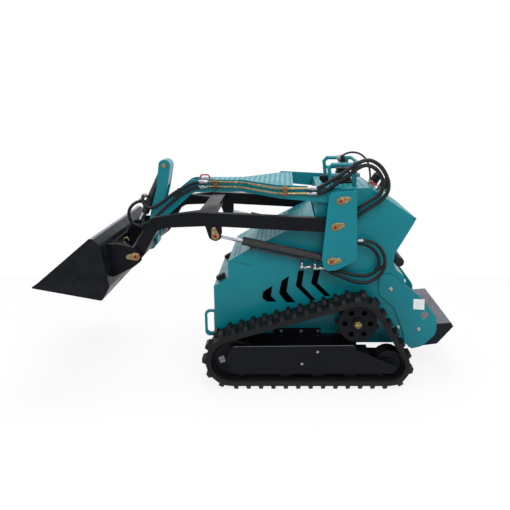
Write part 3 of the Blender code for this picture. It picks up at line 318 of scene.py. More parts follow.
@dataclass(frozen=True)
class Grit(Finish):
    """A sprayed anti-slip coat on the faces that look up: hard crumbs that stand out of the enamel."""

    crumb_mm: float = 6.0
    crumb_colour: str = "#8b8891"
    crumb_range: Flat = (0.35, 0.65)
    crumb_least: float = 0.35
    upward_range: Flat = (0.05, 0.25)

    def colour_in(self, canvas: Canvas) -> None:
        """Feeds the enamel's colours, and the coat's on the faces that look up.

        Args:
            canvas: What the finish is drawn on.
        """
        super().colour_in(canvas)
        tree, base = canvas.tree, canvas.shader.inputs["Base Color"]
        normal = add_node(tree, "TexCoord").outputs["Normal"]
        way = add_node(tree, "SeparateXYZ", {"Vector": normal}).outputs["Z"]
        low, high = self.upward_range
        coated = add_node(
            tree, "MapRange", {"Value": way, "From Min": low, "From Max": high}
        ).outputs["Result"]
        speck = add_node(
            tree, "TexNoise", {"Vector": canvas.place, "Scale": per_metre(self.crumb_mm), "Detail": 2.0}
        ).outputs["Fac"]
        low, high = self.crumb_range
        crumbs = add_node(
            tree, "MapRange", {"Value": speck, "From Min": low, "From Max": high, "To Min": self.crumb_least}
        ).outputs["Result"]
        share = add_node(tree, "Math", {0: coated, 1: crumbs}, operation="MULTIPLY").outputs[0]
        colours = {BELOW: base.links[0].from_socket, ABOVE: linear(self.crumb_colour)}
        tone = add_node(tree, "Mix", {SHARE: share, **colours}, data_type="RGBA").outputs[MIXED]
        tree.links.new(tone, base)


# Powder coat: sprayed dry and baked, so it flows into a soft orange peel with a satin gloss. The real
# peel is 1.5 mm wide, drawn at 5 mm so that it breaks up the reflections in a picture of this size.
TEAL_COAT = Finish(
    "powder_coat_teal", "#067e8a", 0.30, specular=0.22, coat=0.05, mottle="#06707d", mottle_mm=260,
    mottle_share=0.6, grain_mm=5.0, grain_depth_mm=0.05,
)
# The same coat on rolled tread plate, mottled with a lighter teal in patches about 60 mm wide.
TREAD_COAT = Finish(
    "powder_coat_teal_tread_plate", "#0a7d88", 0.32, specular=0.26, coat=0.04, mottle="#1a8c94",
    mottle_mm=60, grain_mm=6.0, grain_depth_mm=0.04,
)
# Two-pack machinery enamel, blue-black, sprayed over mill scale: glossier, with a slight ripple.
BLACK_ENAMEL = Finish(
    "machinery_enamel_black", "#101116", 0.34, specular=0.09, mottle="#17181e", mottle_mm=140,
    grain_mm=7.0, grain_depth_mm=0.06,
)
# The bucket's coat is the same enamel, scuffed to a greyer tone where loads have slid along it.
BUCKET_ENAMEL = Finish(
    "machinery_enamel_bucket", "#101217", 0.36, specular=0.10, mottle="#1f2127", mottle_mm=90,
    mottle_share=0.7, grain_mm=9.0,
)
# The cylinders' tubes are sprayed thicker and stay glossy, with a soft light along their backs.
BARREL_ENAMEL = Finish(
    "machinery_enamel_barrel", "#17181d", 0.30, specular=0.40, coat=0.05, mottle="#1d1e24", mottle_mm=80,
    grain_mm=6.0, grain_depth_mm=0.04,
)
# Natural and butadiene rubber, moulded in steel: matt, with a bloom of wax and dust in its hollows.
TRACK_RUBBER = Finish(
    "moulded_track_rubber", "#111214", 0.50, specular=0.16, mottle="#1b1b1d", mottle_mm=22,
    mottle_share=0.8, grain_mm=2.5, grain_depth_mm=0.25, dust="#3d3b38", dust_top=0.12,
)
# Hard chrome, ground and polished: a mirror, with dark grey streaks along the rod painted into its colour as
# painted reflections.
HARD_CHROME = Finish(
    "hard_chrome_rod_painted_reflections", "#b4b8bd", 0.12, metallic=1.0, mottle="#7d8187", mottle_mm=60, mottle_share=0.8,
    grain_depth_mm=0.01, roughness_spread=0.03, stretch=(0.25, 1.0, 2.5),
)
# Bright zinc on hydraulic fittings and bolts: a soft grey metal.
BRIGHT_ZINC = Finish(
    "bright_zinc_plate", "#a4a8ac", 0.28, metallic=1.0, mottle="#74787d", mottle_mm=8, mottle_share=0.8,
    grain_mm=1.5, grain_depth_mm=0.03,
)
# Yellow chromate on zinc, dipped, on pins' flags, pipes and hooks: satin, with an uneven film.
YELLOW_ZINC = Plating(
    "yellow_chromate_zinc", "#d0b880", 0.30, metallic=1.0, mottle_mm=12, grain_mm=1.5, grain_depth_mm=0.03
)
# The clamps' zinc has a darker, browner chromate.
BRONZE_ZINC = Finish(
    "bronze_chromate_zinc", "#6b5038", 0.36, metallic=1.0, mottle="#8f7350", mottle_mm=10, grain_mm=1.5,
    grain_depth_mm=0.03,
)
# Phosphated and oiled steel, on pins' faces: a brown-orange rust bloom over dull metal.
RUSTY_STEEL = Finish(
    "oiled_pin_steel", "#93402c", 0.45, metallic=0.6, mottle="#a86a48", mottle_mm=4, mottle_share=0.8,
    grain_mm=1.5, grain_depth_mm=0.08,
)
# Hose cover: synthetic rubber pressed in cloth wrap, with a weave of 1 mm drawn at 3 mm to show.
HOSE_COVER = Finish("wrapped_hose_cover", "#0e0f12", 0.40, specular=0.25, mottle="#191a1e", mottle_mm=15)
# Polypropylene and nylon mouldings, fine-grained and matt.
BLACK_PLASTIC = Finish(
    "moulded_black_plastic", "#0d0d0f", 0.46, specular=0.22, mottle="#161618", mottle_mm=30,
    grain_mm=1.5, grain_depth_mm=0.05,
)
# Vinyl dip on the handle, thick and glossy.
RED_VINYL = Finish(
    "dipped_red_vinyl", "#b3172a", 0.28, coat=0.3, mottle="#9c1224", mottle_mm=15, grain_mm=4.0,
    grain_depth_mm=0.05,
)
# Moulded nylon rings on the couplers, with a satin skin.
GREEN_PLASTIC = Finish("moulded_green_plastic", "#1f8a55", 0.40, mottle="#1a7a4a", mottle_mm=10)
# Polycarbonate lamp lens over chips, seen as pale grey.
LAMP_LENS = Finish("lamp_lens_polycarbonate", "#aeb4b8", 0.12, coat=0.8, mottle="#8d9499", mottle_mm=9)
# Blank vinyl label, semi-gloss white.
WHITE_VINYL = Finish("blank_white_vinyl", "#e8eaea", 0.35, mottle="#dfe2e2", mottle_mm=20)
# Cast iron ballast, rolled with a coarse grey anti-slip coat.
BALLAST_GRIT = Grit(
    "anti_slip_ballast_coat", "#14151a", 0.60, specular=0.16, mottle="#1b1c21", mottle_mm=90,
    grain_mm=6.0, grain_depth_mm=0.5,
)
# Painted steel edges rubbed to pale grey along their length, on the track covers' lips and the tensioners'
# lugs; on the bucket's top rail the same pale grey is a painted highlight, where the rail's top face catches
# light.
RUBBED_STEEL_AND_HIGHLIGHT = Finish(
    "rubbed_grey_steel_and_highlight", "#777a86", 0.36, metallic=0.35, mottle="#60636d", mottle_mm=25, grain_mm=6.0,
    grain_depth_mm=0.12, stretch=(1.0, 0.15, 1.0),
)

SLOT_FINISHES = {
    Slot.TEAL: TEAL_COAT,
    Slot.BLACK: BLACK_ENAMEL,
    Slot.RUBBER: TRACK_RUBBER,
    Slot.STEEL: HARD_CHROME,
    Slot.ZINC: YELLOW_ZINC,
    Slot.PLASTIC: BLACK_PLASTIC,
    Slot.RED: RED_VINYL,
}
# The nodes whose finish isn't their slot's.
NODE_FINISHES = {
    "hood": TREAD_COAT,
    "upper_link": TEAL_COAT,
    "counterweight": BALLAST_GRIT,
    "bucket": BUCKET_ENAMEL,
    "coupler": BLACK_ENAMEL,
    "thigh_bar": BLACK_PLASTIC,
    "tilt_barrel": BARREL_ENAMEL,
    "lift_barrel_left": BARREL_ENAMEL,
    "lift_barrel_right": BARREL_ENAMEL,
}


# Meshes


def turns(steps: int) -> list[float]:
    """Divides a full turn into equal angles."""
    return [2 * math.pi * i / steps for i in range(steps)]


def arc(centre: Flat, radius: float, start: float, end: float, steps: int) -> list[Flat]:
    """Divides an arc into equal steps.

    Args:
        centre: Its centre.
        radius: Its radius.
        start: The angle of its first point, in radians.
        end: The angle of its last point, in radians.
        steps: How many steps it gets.

    Returns:
        Its points, with both ends.
    """
    angles = (start + (end - start) * step / steps for step in range(steps + 1))
    return [(centre[0] + radius * math.cos(a), centre[1] + radius * math.sin(a)) for a in angles]


def facing(point: Point, direction: Point, spin: float = 0.0) -> Matrix:
    """The place of a shape whose own Z axis points in a direction.

    Args:
        point: Where its origin goes.
        direction: Where its Z axis points.
        spin: Its turn about that axis, in degrees.

    Returns:
        The transform from the shape's frame to the machine's.
    """
    turn = Vector(direction).to_track_quat("Z", "Y").to_matrix().to_4x4()
    return Matrix.Translation(point) @ turn @ Matrix.Rotation(math.radians(spin), 4, "Z")


def smooth_route(points: Iterable[Point], steps: int = 6) -> list[Vector]:
    """Divides each span between points on a Catmull-Rom curve.

    Args:
        points: The route's knots.
        steps: How many parts each span gets.

    Returns:
        The finer route, in which knot n is point n times steps.
    """
    knots = [Vector(p) for p in points]
    knots = [2 * knots[0] - knots[1], *knots, 2 * knots[-1] - knots[-2]]
    route = []
    for a, b, c, d in zip(knots, knots[1:], knots[2:], knots[3:]):
        square, cube = 2 * a - 5 * b + 4 * c - d, 3 * b - a - 3 * c + d
        for step in range(steps):
            t = step / steps
            route.append(0.5 * (2 * b + (c - a) * t + square * t**2 + cube * t**3))
    return [*route, knots[-2]]


def bent(y: float, points: Iterable[Flat]) -> list[Point]:
    """Lays (x, z) points in the plane of one y."""
    return [(x, y, z) for x, z in points]


class MeshMaker:
    """Gathers shapes into one mesh object."""

    def __init__(self, name: str) -> None:
        """Starts an empty mesh under a piece name."""
        self.name = name
        self.bm = bmesh.new()

    def ring(self, points: Iterable[Sequence[float]]) -> list[bmesh.types.BMVert]:
        """Adds the vertices of one closed outline."""
        return [self.bm.verts.new(point) for point in points]

    def skin(self, rings: Sequence[list[bmesh.types.BMVert]]) -> None:
        """Joins outlines by walls, and closes both ends.

        Args:
            rings: The outlines in order, each with the same number of vertices.
        """
        for low, high in zip(rings, rings[1:]):
            for i, corner in enumerate(low):
                j = (i + 1) % len(low)
                self.bm.faces.new((corner, low[j], high[j], high[i]))
        self.bm.faces.new(rings[0][::-1])
        self.bm.faces.new(rings[-1])

    def box(self, size: Point, turn: Matrix, bevel: float) -> None:
        """Adds a box with rounded edges.

        Args:
            size: Its length along each of its own axes.
            turn: Where it goes.
            bevel: The width of its edge rounding.
        """
        made = bmesh.ops.create_cube(self.bm, size=1.0)["verts"]
        bmesh.ops.scale(self.bm, verts=made, vec=size)
        edges = dict.fromkeys(edge for vert in made for edge in vert.link_edges)
        made = bmesh.ops.bevel(
            self.bm, geom=[*made, *edges], offset=bevel, segments=2, profile=0.6, affect="EDGES"
        )["verts"]
        bmesh.ops.transform(self.bm, verts=made, matrix=turn)

    def lathe(self, profile: Iterable[Flat], turn: Matrix, steps: int = ROUND) -> None:
        """Adds a turned shape about its own Z axis.

        Args:
            profile: (radius, height) points from its foot to its top.
            turn: Where it goes.
            steps: How many flats make a round.
        """
        rings = [
            self.ring((radius * math.cos(a), radius * math.sin(a), height) for a in turns(steps))
            for radius, height in profile
        ]
        self.skin(rings)
        bmesh.ops.transform(self.bm, verts=[vert for ring in rings for vert in ring], matrix=turn)

    def sweep(self, route: Sequence[Vector], radius: float, steps: int) -> None:
        """Adds a round tube along a route.

        Args:
            route: Points in the machine's frame.
            radius: The tube's radius.
            steps: How many flats make a round.
        """
        side = Vector(OUTWARD)
        rings = []
        for i, point in enumerate(route):
            ahead = (route[min(i + 1, len(route) - 1)] - route[max(i - 1, 0)]).normalized()
            side = (side - ahead * side.dot(ahead)).normalized()
            lift = ahead.cross(side)
            ways = (side * math.cos(a) + lift * math.sin(a) for a in turns(steps))
            rings.append(self.ring(point + radius * way for way in ways))
        self.skin(rings)

    def plate(self, outline: Outline, inner: float, outer: float) -> None:
        """Adds a flat plate that stands on edge along the machine.

        Args:
            outline: Its (x, z) points in order.
            inner: The y of its inner face.
            outer: The y of its outer face.
        """
        self.skin([self.ring(bent(y, outline)) for y in (inner, outer)])

    def mirror(self) -> None:
        """Adds the twin of all that is there on the other side of the machine."""
        twin = bmesh.ops.duplicate(self.bm, geom=[*self.bm.verts, *self.bm.edges, *self.bm.faces])["geom"]
        verts = [part for part in twin if isinstance(part, bmesh.types.BMVert)]
        faces = [part for part in twin if isinstance(part, bmesh.types.BMFace)]
        bmesh.ops.scale(self.bm, verts=verts, vec=(1, -1, 1))
        bmesh.ops.reverse_faces(self.bm, faces=faces)

    def finish(self, finish: Finish, body: Body | None, slot: Slot, smooth: float = 35.0) -> bpy.types.Object:
        """Turns the gathered shapes into a dressed piece.

        Args:
            finish: Its material.
            body: The body it rides on, or None for one that rides on none.
            slot: The record's slot it takes its finish from.
            smooth: Edges flatter than this many degrees are shaded smooth.

        Returns:
            The new object.
        """
        bmesh.ops.recalc_face_normals(self.bm, faces=self.bm.faces)
        mesh = bpy.data.meshes.new(self.name)
        self.bm.to_mesh(mesh)
        self.bm.free()
        mesh.shade_smooth()
        mesh.set_sharp_from_angle(angle=math.radians(smooth))
        made = bpy.data.objects.new(self.name, mesh)
        bpy.context.scene.collection.objects.link(made)
        made.data.materials.append(finish.make())
        if body is not None:
            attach(made, body.value)
        log.info("%s: %d faces", self.name, len(mesh.polygons))
        return made


# Dressing of the CAD nodes


@dataclass
class CadDress:
    """Gives each CAD node its finish, and softens its cut edges by a bevel that keeps its mesh."""

    edge: float = 0.0012
    segments: int = 2
    sharper_than: float = 40.0

    def build(self) -> None:
        """Dresses every node by its own entry, or else by its slot."""
        slot_of = {row["node"]: Slot(row["material_slot"]) for row in frame["record"]["subparts"]}
        for name, node in frame["nodes"].items():
            finish = NODE_FINISHES.get(name, SLOT_FINISHES[slot_of[name]])
            node.data.materials.clear()
            node.data.materials.append(finish.make())
            bevel = node.modifiers.new("Softened edges", "BEVEL")
            bevel.width = self.edge
            bevel.segments = self.segments
            bevel.limit_method = "ANGLE"
            bevel.angle_limit = math.radians(self.sharper_than)
            log.info("%s: %s", name, finish.name)


# Sheet metal


@dataclass
class TreadPatch:
    """A flat patch of rolled tread plate, with bars that lean left and right by turns.

    A bar is lens-shaped: half its length, half its width, and its height.
    """

    origin: Point
    along: Point
    across: Point
    pitch: float = 0.030
    bar: Point = (0.0115, 0.0032, 0.0014)
    shoulder: float = 0.4
    crest: Flat = (0.62, 0.45)
    sunk: float = 0.0003
    lean: float = 45.0

    def bars(self, maker: MeshMaker, inside: Callable[[float, float], bool]) -> None:
        """Adds the raised bars.

        Args:
            maker: The mesh that gathers them.
            inside: Says whether a bar belongs at (distance along, distance across).
        """
        u, v = Vector(self.along), Vector(self.across)
        length, width = u.length, v.length
        u, v = u.normalized(), v.normalized()
        up = u.cross(v).normalized()
        if up.z < 0:
            up = -up
        base = Matrix((u, v, up)).transposed().to_4x4()
        for i in range(int(length / self.pitch)):
            for j in range(int(width / self.pitch)):
                a, b = (i + 0.5) * self.pitch, (j + 0.5) * self.pitch
                if inside(a, b):
                    spin = math.radians(self.lean if (i + j) % 2 else -self.lean)
                    place = Matrix.Translation(Vector(self.origin) + u * a + v * b) @ base
                    self.bar_at(maker, place @ Matrix.Rotation(spin, 4, "Z"))

    def bar_at(self, maker: MeshMaker, place: Matrix) -> None:
        """Adds one bar, whose crest is a smaller copy of its foot.

        Args:
            maker: The mesh that gathers it.
            place: Its own frame, with Z out of the plate.
        """
        length, width, height = self.bar
        bend = self.shoulder * length
        foot = ((length, 0), (bend, width), (-bend, width), (-length, 0), (-bend, -width), (bend, -width))
        long, wide = self.crest
        low = maker.ring(place @ Vector((x, y, -self.sunk)) for x, y in foot)
        maker.skin([low, maker.ring(place @ Vector((long * x, wide * y, height)) for x, y in foot)])


@dataclass
class TreadPlates:
    """The tread bars on the hood, the console's slope and the upper link's deck.

    The slopes are (x, z) corners from bend to bend. The deck tapers between two places along it.
    """

    hood: Outline = ((-0.360, 0.945), (0.010, 0.760), (0.131, 0.689))
    hood_margin: float = 0.055
    console: Outline = ((-0.372, 1.090), (-0.657, 1.105), (-0.918, 0.934))
    margin: float = 0.012
    half_width: float = 0.318
    deck_x: Flat = (-0.235, 0.312)
    deck_taper: Flat = (-0.180, 0.060)
    deck_half: Flat = (0.350, 0.068)
    deck_top: float = 1.117

    def build(self) -> None:
        """Builds the bars on each body as one piece."""
        bars = MeshMaker("hood_tread_bars")
        half = self.half_width
        for corners, margin in ((self.hood, self.hood_margin), (self.console, self.margin)):
            for (x0, z0), (x1, z1) in zip(corners, corners[1:]):
                patch = TreadPatch((x0, -half, z0), (x1 - x0, 0, z1 - z0), (0, 2 * half, 0))
                patch.bars(bars, lambda a, b: a > margin)
        bars.finish(TREAD_COAT, Body.CHASSIS, Slot.TEAL)

        bars = MeshMaker("link_tread_bars")
        (x0, x1), wide = self.deck_x, self.deck_half[0]
        patch = TreadPatch((x0, -wide, self.deck_top), (x1 - x0, 0, 0), (0, 2 * wide, 0))
        patch.bars(bars, lambda a, b: abs(b - wide) < self.deck_reach(x0 + a) - self.margin)
        bars.finish(TREAD_COAT, Body.LINK, Slot.TEAL)

    def deck_reach(self, x: float) -> float:
        """Works out how far the deck reaches to each side.

        Args:
            x: A place along the machine.

        Returns:
            Half the deck's width there.
        """
        (start, end), (wide, narrow) = self.deck_taper, self.deck_half
        return wide + (narrow - wide) * min(max((x - start) / (end - start), 0.0), 1.0)


@dataclass
class BodyTrim:
    """The blank label on the wing plate, the hood's skirts, its rubber strip and the painted shadow line of
    black rubber under each skirt's lower edge, and the covers' folded lips.
    """

    label: Outline = ((-0.924, 0.469), (-0.988, 0.467), (-0.989, 0.404), (-0.925, 0.408))
    label_y: Flat = (0.3462, 0.3470)
    skirt: Outline = (
        (0.112, 0.697), (0.010, 0.756), (-0.345, 0.9335), (-0.348, 0.857), (-0.318, 0.840),
        (-0.218, 0.781), (-0.097, 0.715), (-0.006, 0.672), (0.012, 0.670), (0.095, 0.685),
    )
    skirt_y: Flat = (0.3362, 0.3384)
    seal_r: float = 0.0045
    seal_post: Outline = ((-0.372, 0.957), (-0.374, 1.000), (-0.377, 1.060))
    seal_post_y: float = 0.327
    seal_bar: Flat = (-0.366, 0.951)
    seal_bar_y: tuple[float, ...] = (-0.30, -0.10, 0.10, 0.30)
    # A thin black bead along each skirt's lower edge: painted shadow, the shade under the skirt's edge.
    shadow_line_r: float = 0.0019
    shadow_line_y: float = 0.3370
    shadow_line_from: int = 3
    lip: Outline = ((0.094, 0.2515), (-0.570, 0.2592))
    lip_r: float = 0.0017
    lip_y: float = 0.5255

    def build(self) -> None:
        """Builds the trim."""
        label = MeshMaker("blank_label")
        label.plate(self.label, *self.label_y)
        label.finish(WHITE_VINYL, Body.CHASSIS, Slot.STEEL)

        skirt = MeshMaker("hood_skirts")
        skirt.plate(self.skirt, *self.skirt_y)
        skirt.mirror()
        skirt.finish(TEAL_COAT, Body.CHASSIS, Slot.TEAL)

        strip = MeshMaker("hood_seal_and_shadow_line")
        for side in SIDES:
            post = bent(side * self.seal_post_y, self.seal_post)
            # Painted shadow: a black bead along the skirt's lower edge.
            shadow_line = bent(side * self.shadow_line_y, self.skirt[self.shadow_line_from :])
            strip.sweep([Vector(p) for p in post], self.seal_r, steps=8)
            strip.sweep([Vector(p) for p in shadow_line], self.shadow_line_r, steps=6)
        x, z = self.seal_bar
        strip.sweep([Vector((x, y, z)) for y in self.seal_bar_y], self.seal_r, steps=8)
        strip.finish(HOSE_COVER, Body.CHASSIS, Slot.RUBBER)

        lip = MeshMaker("cover_lips")
        lip.sweep([Vector(p) for p in bent(self.lip_y, self.lip)], self.lip_r, steps=8)
        lip.mirror()
        lip.finish(RUBBED_STEEL_AND_HIGHLIGHT, Body.CHASSIS, Slot.BLACK)


@dataclass
class BucketTrim:
    """A painted highlight along the bucket's top rail, a thin pale sheet over it, and the bucket's sling
    hooks.
    """

    rail: Outline = ((0.8133, 0.8000), (0.8192, 0.8607), (0.8402, 0.8592))
    rail_length: float = 1.075
    rail_thick: float = 0.0016
    rail_bevel: float = 0.0005
    hook: Point = (0.694, 0.350, 0.812)
    hook_radii: Flat = (0.015, 0.017)
    hook_angles: tuple[int, int, int] = (-60, 201, 20)
    hook_r: float = 0.0035

    def build(self) -> None:
        """Builds the trim on the bucket's body."""
        # A thin pale sheet laid on the rail's faces: painted highlight.
        rail = MeshMaker("bucket_top_rail_painted_highlight")
        for (x0, z0), (x1, z1) in zip(self.rail, self.rail[1:]):
            size = (math.hypot(x1 - x0, z1 - z0), self.rail_length, self.rail_thick)
            place = Matrix.Translation(((x0 + x1) / 2, 0, (z0 + z1) / 2))
            rail.box(size, place @ Matrix.Rotation(math.atan2(z0 - z1, x1 - x0), 4, "Y"), self.rail_bevel)
        rail.finish(RUBBED_STEEL_AND_HIGHLIGHT, Body.BUCKET, Slot.STEEL)

        hook = MeshMaker("sling_hooks")
        (x, y, z), (long, tall) = self.hook, self.hook_radii
        angles = (math.radians(angle) for angle in range(*self.hook_angles))
        bow = [Vector((x + long * math.cos(a), y, z + tall * math.sin(a))) for a in angles]
        hook.sweep(bow, self.hook_r, steps=10)
        hook.mirror()
        hook.finish(YELLOW_ZINC, Body.BUCKET, Slot.ZINC)


# Fasteners and small fittings


@dataclass
class Fastener:
    """A hexagon bolt head with a chamfered top, on a round washer.

    The washer's profile holds shares of the head's radius, and the head's holds shares of both sizes.
    """

    head: float = 0.010
    tall: float = 0.006
    washer: Outline = ((1.15, -0.0005), (1.15, 0.0016), (1.0925, 0.0020))
    crown: Outline = ((1.0, 0.0), (1.0, 0.85), (0.84, 1.0))
    seat: float = 0.0018
    spin: float = 0.0

    def add(self, maker: MeshMaker, point: Point, direction: Point) -> None:
        """Adds the head and its washer.

        Args:
            maker: The mesh that gathers it.
            point: Where the washer meets the metal.
            direction: Out of the metal.
        """
        place = facing(point, direction, self.spin)
        maker.lathe([(share * self.head, z) for share, z in self.washer], place)
        crown = [(share * self.head, self.seat + rise * self.tall) for share, rise in self.crown]
        maker.lathe(crown, place, HEXAGON)


@dataclass
class Bolts:
    """Bolts on the wing plates, the frame's shelf and the track covers, and the idlers' tensioners."""

    wing: Outline = ((-0.791, 0.527), (-0.962, 0.286), (-0.841, 0.298))
    wing_y: float = 0.3465
    shelf: Outline = ((-0.167, 0.272), (-0.283, 0.272), (-0.380, 0.272))
    shelf_y: float = 0.3446
    cover: Outline = ((-0.370, 0.223), (-0.284, 0.152))
    rollers: Outline = ((-0.187, 0.104), (-0.376, 0.104), (-0.568, 0.104))
    cover_y: float = 0.5302
    lug_at: Point = (0.160, 0.500, 0.170)
    lug: Point = (0.032, 0.026, 0.036)
    lug_lean: float = 0.3
    lug_bevel: float = 0.004
    nut: Outline = ((0.009, 0.0), (0.009, 0.006), (0.007, 0.008))
    nut_y: float = 0.5125

    def build(self) -> None:
        """Builds the bolts on both sides, and the tensioners' lugs."""
        bright = (
            (self.wing, self.wing_y, Fastener(head=0.0105, spin=12)),
            (self.shelf, self.shelf_y, Fastener(head=0.0085, spin=20)),
            (self.cover, self.cover_y, Fastener(head=0.0065, tall=0.003, spin=5)),
        )
        dark = ((self.rollers, self.cover_y, Fastener(head=0.0115, tall=0.005, spin=10)),)
        for name, rows, finish, slot in (
            ("body_bolts", bright, BRIGHT_ZINC, Slot.STEEL),
            ("roller_bolts", dark, BLACK_ENAMEL, Slot.BLACK),
        ):
            maker = MeshMaker(name)
            for places, y, bolt in rows:
                for x, z in places:
                    bolt.add(maker, (x, y, z), OUTWARD)
            maker.mirror()
            maker.finish(finish, Body.CHASSIS, slot)

        lug = MeshMaker("tensioner_lugs")
        leaning = Matrix.Translation(self.lug_at) @ Matrix.Rotation(self.lug_lean, 4, "Y")
        lug.box(self.lug, leaning, self.lug_bevel)
        lug.lathe(self.nut, facing((self.lug_at[0], self.nut_y, self.lug_at[2]), OUTWARD), HEXAGON)
        lug.mirror()
        lug.finish(RUBBED_STEEL_AND_HIGHLIGHT, Body.CHASSIS, Slot.STEEL)


@dataclass
class PinFlag:
    """A plated flag welded to its pin, pear-shaped, over the CAD's own: rim, pin end and bolt head.

    Each level of the plate is its inset from the outline and its height over the face.
    """

    pivot: Flat
    bolt: Flat
    face_y: float
    wide: float = 0.0218
    narrow: float = 0.0128
    levels: Outline = ((0.0, -0.0062), (0.0, 0.0002), (0.0010, 0.0009))
    collar: Outline = ((0.0168, 0.0), (0.0168, 0.0030), (0.0155, 0.0042), (0.0128, 0.0044))
    head: Outline = ((0.0092, 0.0), (0.0092, 0.0052), (0.0078, 0.0064))
    end: Outline = ((0.0130, 0.0), (0.0130, 0.0052), (0.0112, 0.0064), (0.0050, 0.0062), (0.0044, 0.0050))

    def outline(self, inset: float) -> list[Flat]:
        """Works out the pear's outline, a wide arc round the pin and a narrow one round the bolt.

        Args:
            inset: How far inside the full outline it lies.

        Returns:
            Its (x, z) points in order.
        """
        toward = Vector(self.bolt) - Vector(self.pivot)
        lean = math.atan2(toward.y, toward.x)
        spread = math.acos((self.wide - self.narrow) / toward.length)
        return [
            *arc(self.pivot, self.wide - inset, lean + spread, lean + 2 * math.pi - spread, steps=16),
            *arc(self.bolt, self.narrow - inset, lean - spread, lean + spread, steps=16),
        ]

    def add(self, plates: MeshMaker, ends: MeshMaker) -> None:
        """Adds the plate with its bolt, and the pin's rusty end.

        Args:
            plates: The mesh that gathers the plated metal.
            ends: The mesh that gathers the pins' ends.
        """
        y, (bolt_x, bolt_z) = self.face_y, self.bolt
        plates.skin([plates.ring(bent(y + rise, self.outline(inset))) for inset, rise in self.levels])
        pin = facing((self.pivot[0], y, self.pivot[1]), OUTWARD)
        plates.lathe(self.collar, pin, steps=28)
        plates.lathe(self.head, facing((bolt_x, y, bolt_z), OUTWARD, spin=10), HEXAGON)
        ends.lathe(self.end, pin, steps=28)


@dataclass
class PinFlags:
    """Every pin's flag, three on each tower and two on each arm, and the knuckle's plain pin ends."""

    towers: tuple[PinFlag, ...] = (
        PinFlag((-0.487, 1.047), (-0.527, 1.058), 0.445),
        PinFlag((-0.461, 0.906), (-0.501, 0.917), 0.445),
        PinFlag((-0.443, 0.715), (-0.484, 0.720), 0.445),
    )
    arms: tuple[PinFlag, ...] = (
        PinFlag((0.622, 0.743), (0.664, 0.741), 0.445),
        PinFlag((0.188, 0.852), (0.196, 0.888), 0.423),
    )
    knuckle: tuple[Point, ...] = ((0.521, 0.059, 1.197), (0.596, 0.080, 0.884))
    dished: Outline = ((0.0132, 0.0), (0.0132, 0.0045), (0.0118, 0.0056), (0.0080, 0.0050), (0.0020, 0.0046))

    def build(self) -> None:
        """Builds the plates and the ends on both sides of each body."""
        for body, flags in ((Body.CHASSIS, self.towers), (Body.ARM, self.arms)):
            plates, ends = MeshMaker(f"{body.value}_pin_flags"), MeshMaker(f"{body.value}_pin_ends")
            for flag in flags:
                flag.add(plates, ends)
            for maker, finish in ((plates, YELLOW_ZINC), (ends, RUSTY_STEEL)):
                maker.mirror()
                maker.finish(finish, body, Slot.ZINC)

        ends = MeshMaker("knuckle_pin_ends")
        for point in self.knuckle:
            ends.lathe(self.dished, facing(point, OUTWARD), steps=24)
        ends.mirror()
        ends.finish(YELLOW_ZINC, Body.KNUCKLE, Slot.ZINC)


@dataclass
class WorkLamp:
    """A low flood lamp: finned case, bezel and lens, on a foot that leans with the hood.

    Each slab has a size, and its place in front of the foot and above it.
    """

    foot: Point = (0.1774, 0.25, 0.5626)
    slope: float = 27.7
    lens: Point = (0.002, 0.038, 0.0150)
    lens_at: Flat = (0.0245, 0.0150)
    lens_bevel: float = 0.0008
    bezel: Point = (0.006, 0.049, 0.0235)
    bezel_at: Flat = (0.0205, 0.0148)
    bezel_bevel: float = 0.0015
    fin: Point = (0.002, 0.048, 0.0225)
    fin_at: Flat = (-0.0245, 0.0148)
    fin_bevel: float = 0.0005
    fins: int = 6
    fin_pitch: float = 0.006

    def build(self) -> None:
        """Builds the lenses and the cases on both sides."""
        lens, case = MeshMaker("work_lamp_lenses"), MeshMaker("work_lamp_cases")
        self.slab(lens, self.lens, self.lens_at, self.lens_bevel)
        self.slab(case, self.bezel, self.bezel_at, self.bezel_bevel)
        ahead, up = self.fin_at
        for k in range(self.fins):
            self.slab(case, self.fin, (ahead + k * self.fin_pitch, up), self.fin_bevel)
        for maker, finish in ((lens, LAMP_LENS), (case, BLACK_PLASTIC)):
            maker.mirror()
            maker.finish(finish, Body.CHASSIS, Slot.PLASTIC)

    def slab(self, maker: MeshMaker, size: Point, at: Flat, bevel: float) -> None:
        """Adds one slab of the lamp.

        Args:
            maker: The mesh that gathers it.
            size: Its size along the lamp's own axes.
            at: How far it lies in front of the foot and above it.
            bevel: The width of its edge rounding.
        """
        lamp = Matrix.Translation(self.foot) @ Matrix.Rotation(math.radians(self.slope), 4, "Y")
        maker.box(size, lamp @ Matrix.Translation((at[0], 0, at[1])), bevel)


@dataclass
class AxleNuts:
    """What dresses a drive sprocket's hub: the gold axle nut on its washer, and the ring of its split pin."""

    centre: Point = (-0.591, 0.5035, 0.374)
    washer: Outline = ((0.0270, -0.0030), (0.0270, 0.0010), (0.025875, 0.0015))
    nut: Outline = ((0.0225, 0.0010), (0.0225, 0.0150), (0.01935, 0.0175))
    stub: Outline = ((0.0105, 0.0170), (0.0105, 0.0235), (0.0090, 0.0250))
    pin_out: float = 0.0205
    pin_ring: float = 0.017
    pin_r: float = 0.0016
    spin: float = 14.0

    def build(self) -> None:
        """Builds the nut and the pin on both sides."""
        nut = MeshMaker("axle_nuts")
        x, y, z = self.centre
        place = facing(self.centre, OUTWARD, self.spin)
        nut.lathe(self.washer, place, steps=28)
        nut.lathe(self.nut, place, HEXAGON)
        nut.lathe(self.stub, place)
        ring = bent(y + self.pin_out, arc((x, z), self.pin_ring, 0.0, 2 * math.pi, steps=16))
        nut.sweep([Vector(p) for p in ring], self.pin_r, steps=8)
        nut.mirror()
        nut.finish(YELLOW_ZINC, Body.CHASSIS, Slot.ZINC)


# Operator's console


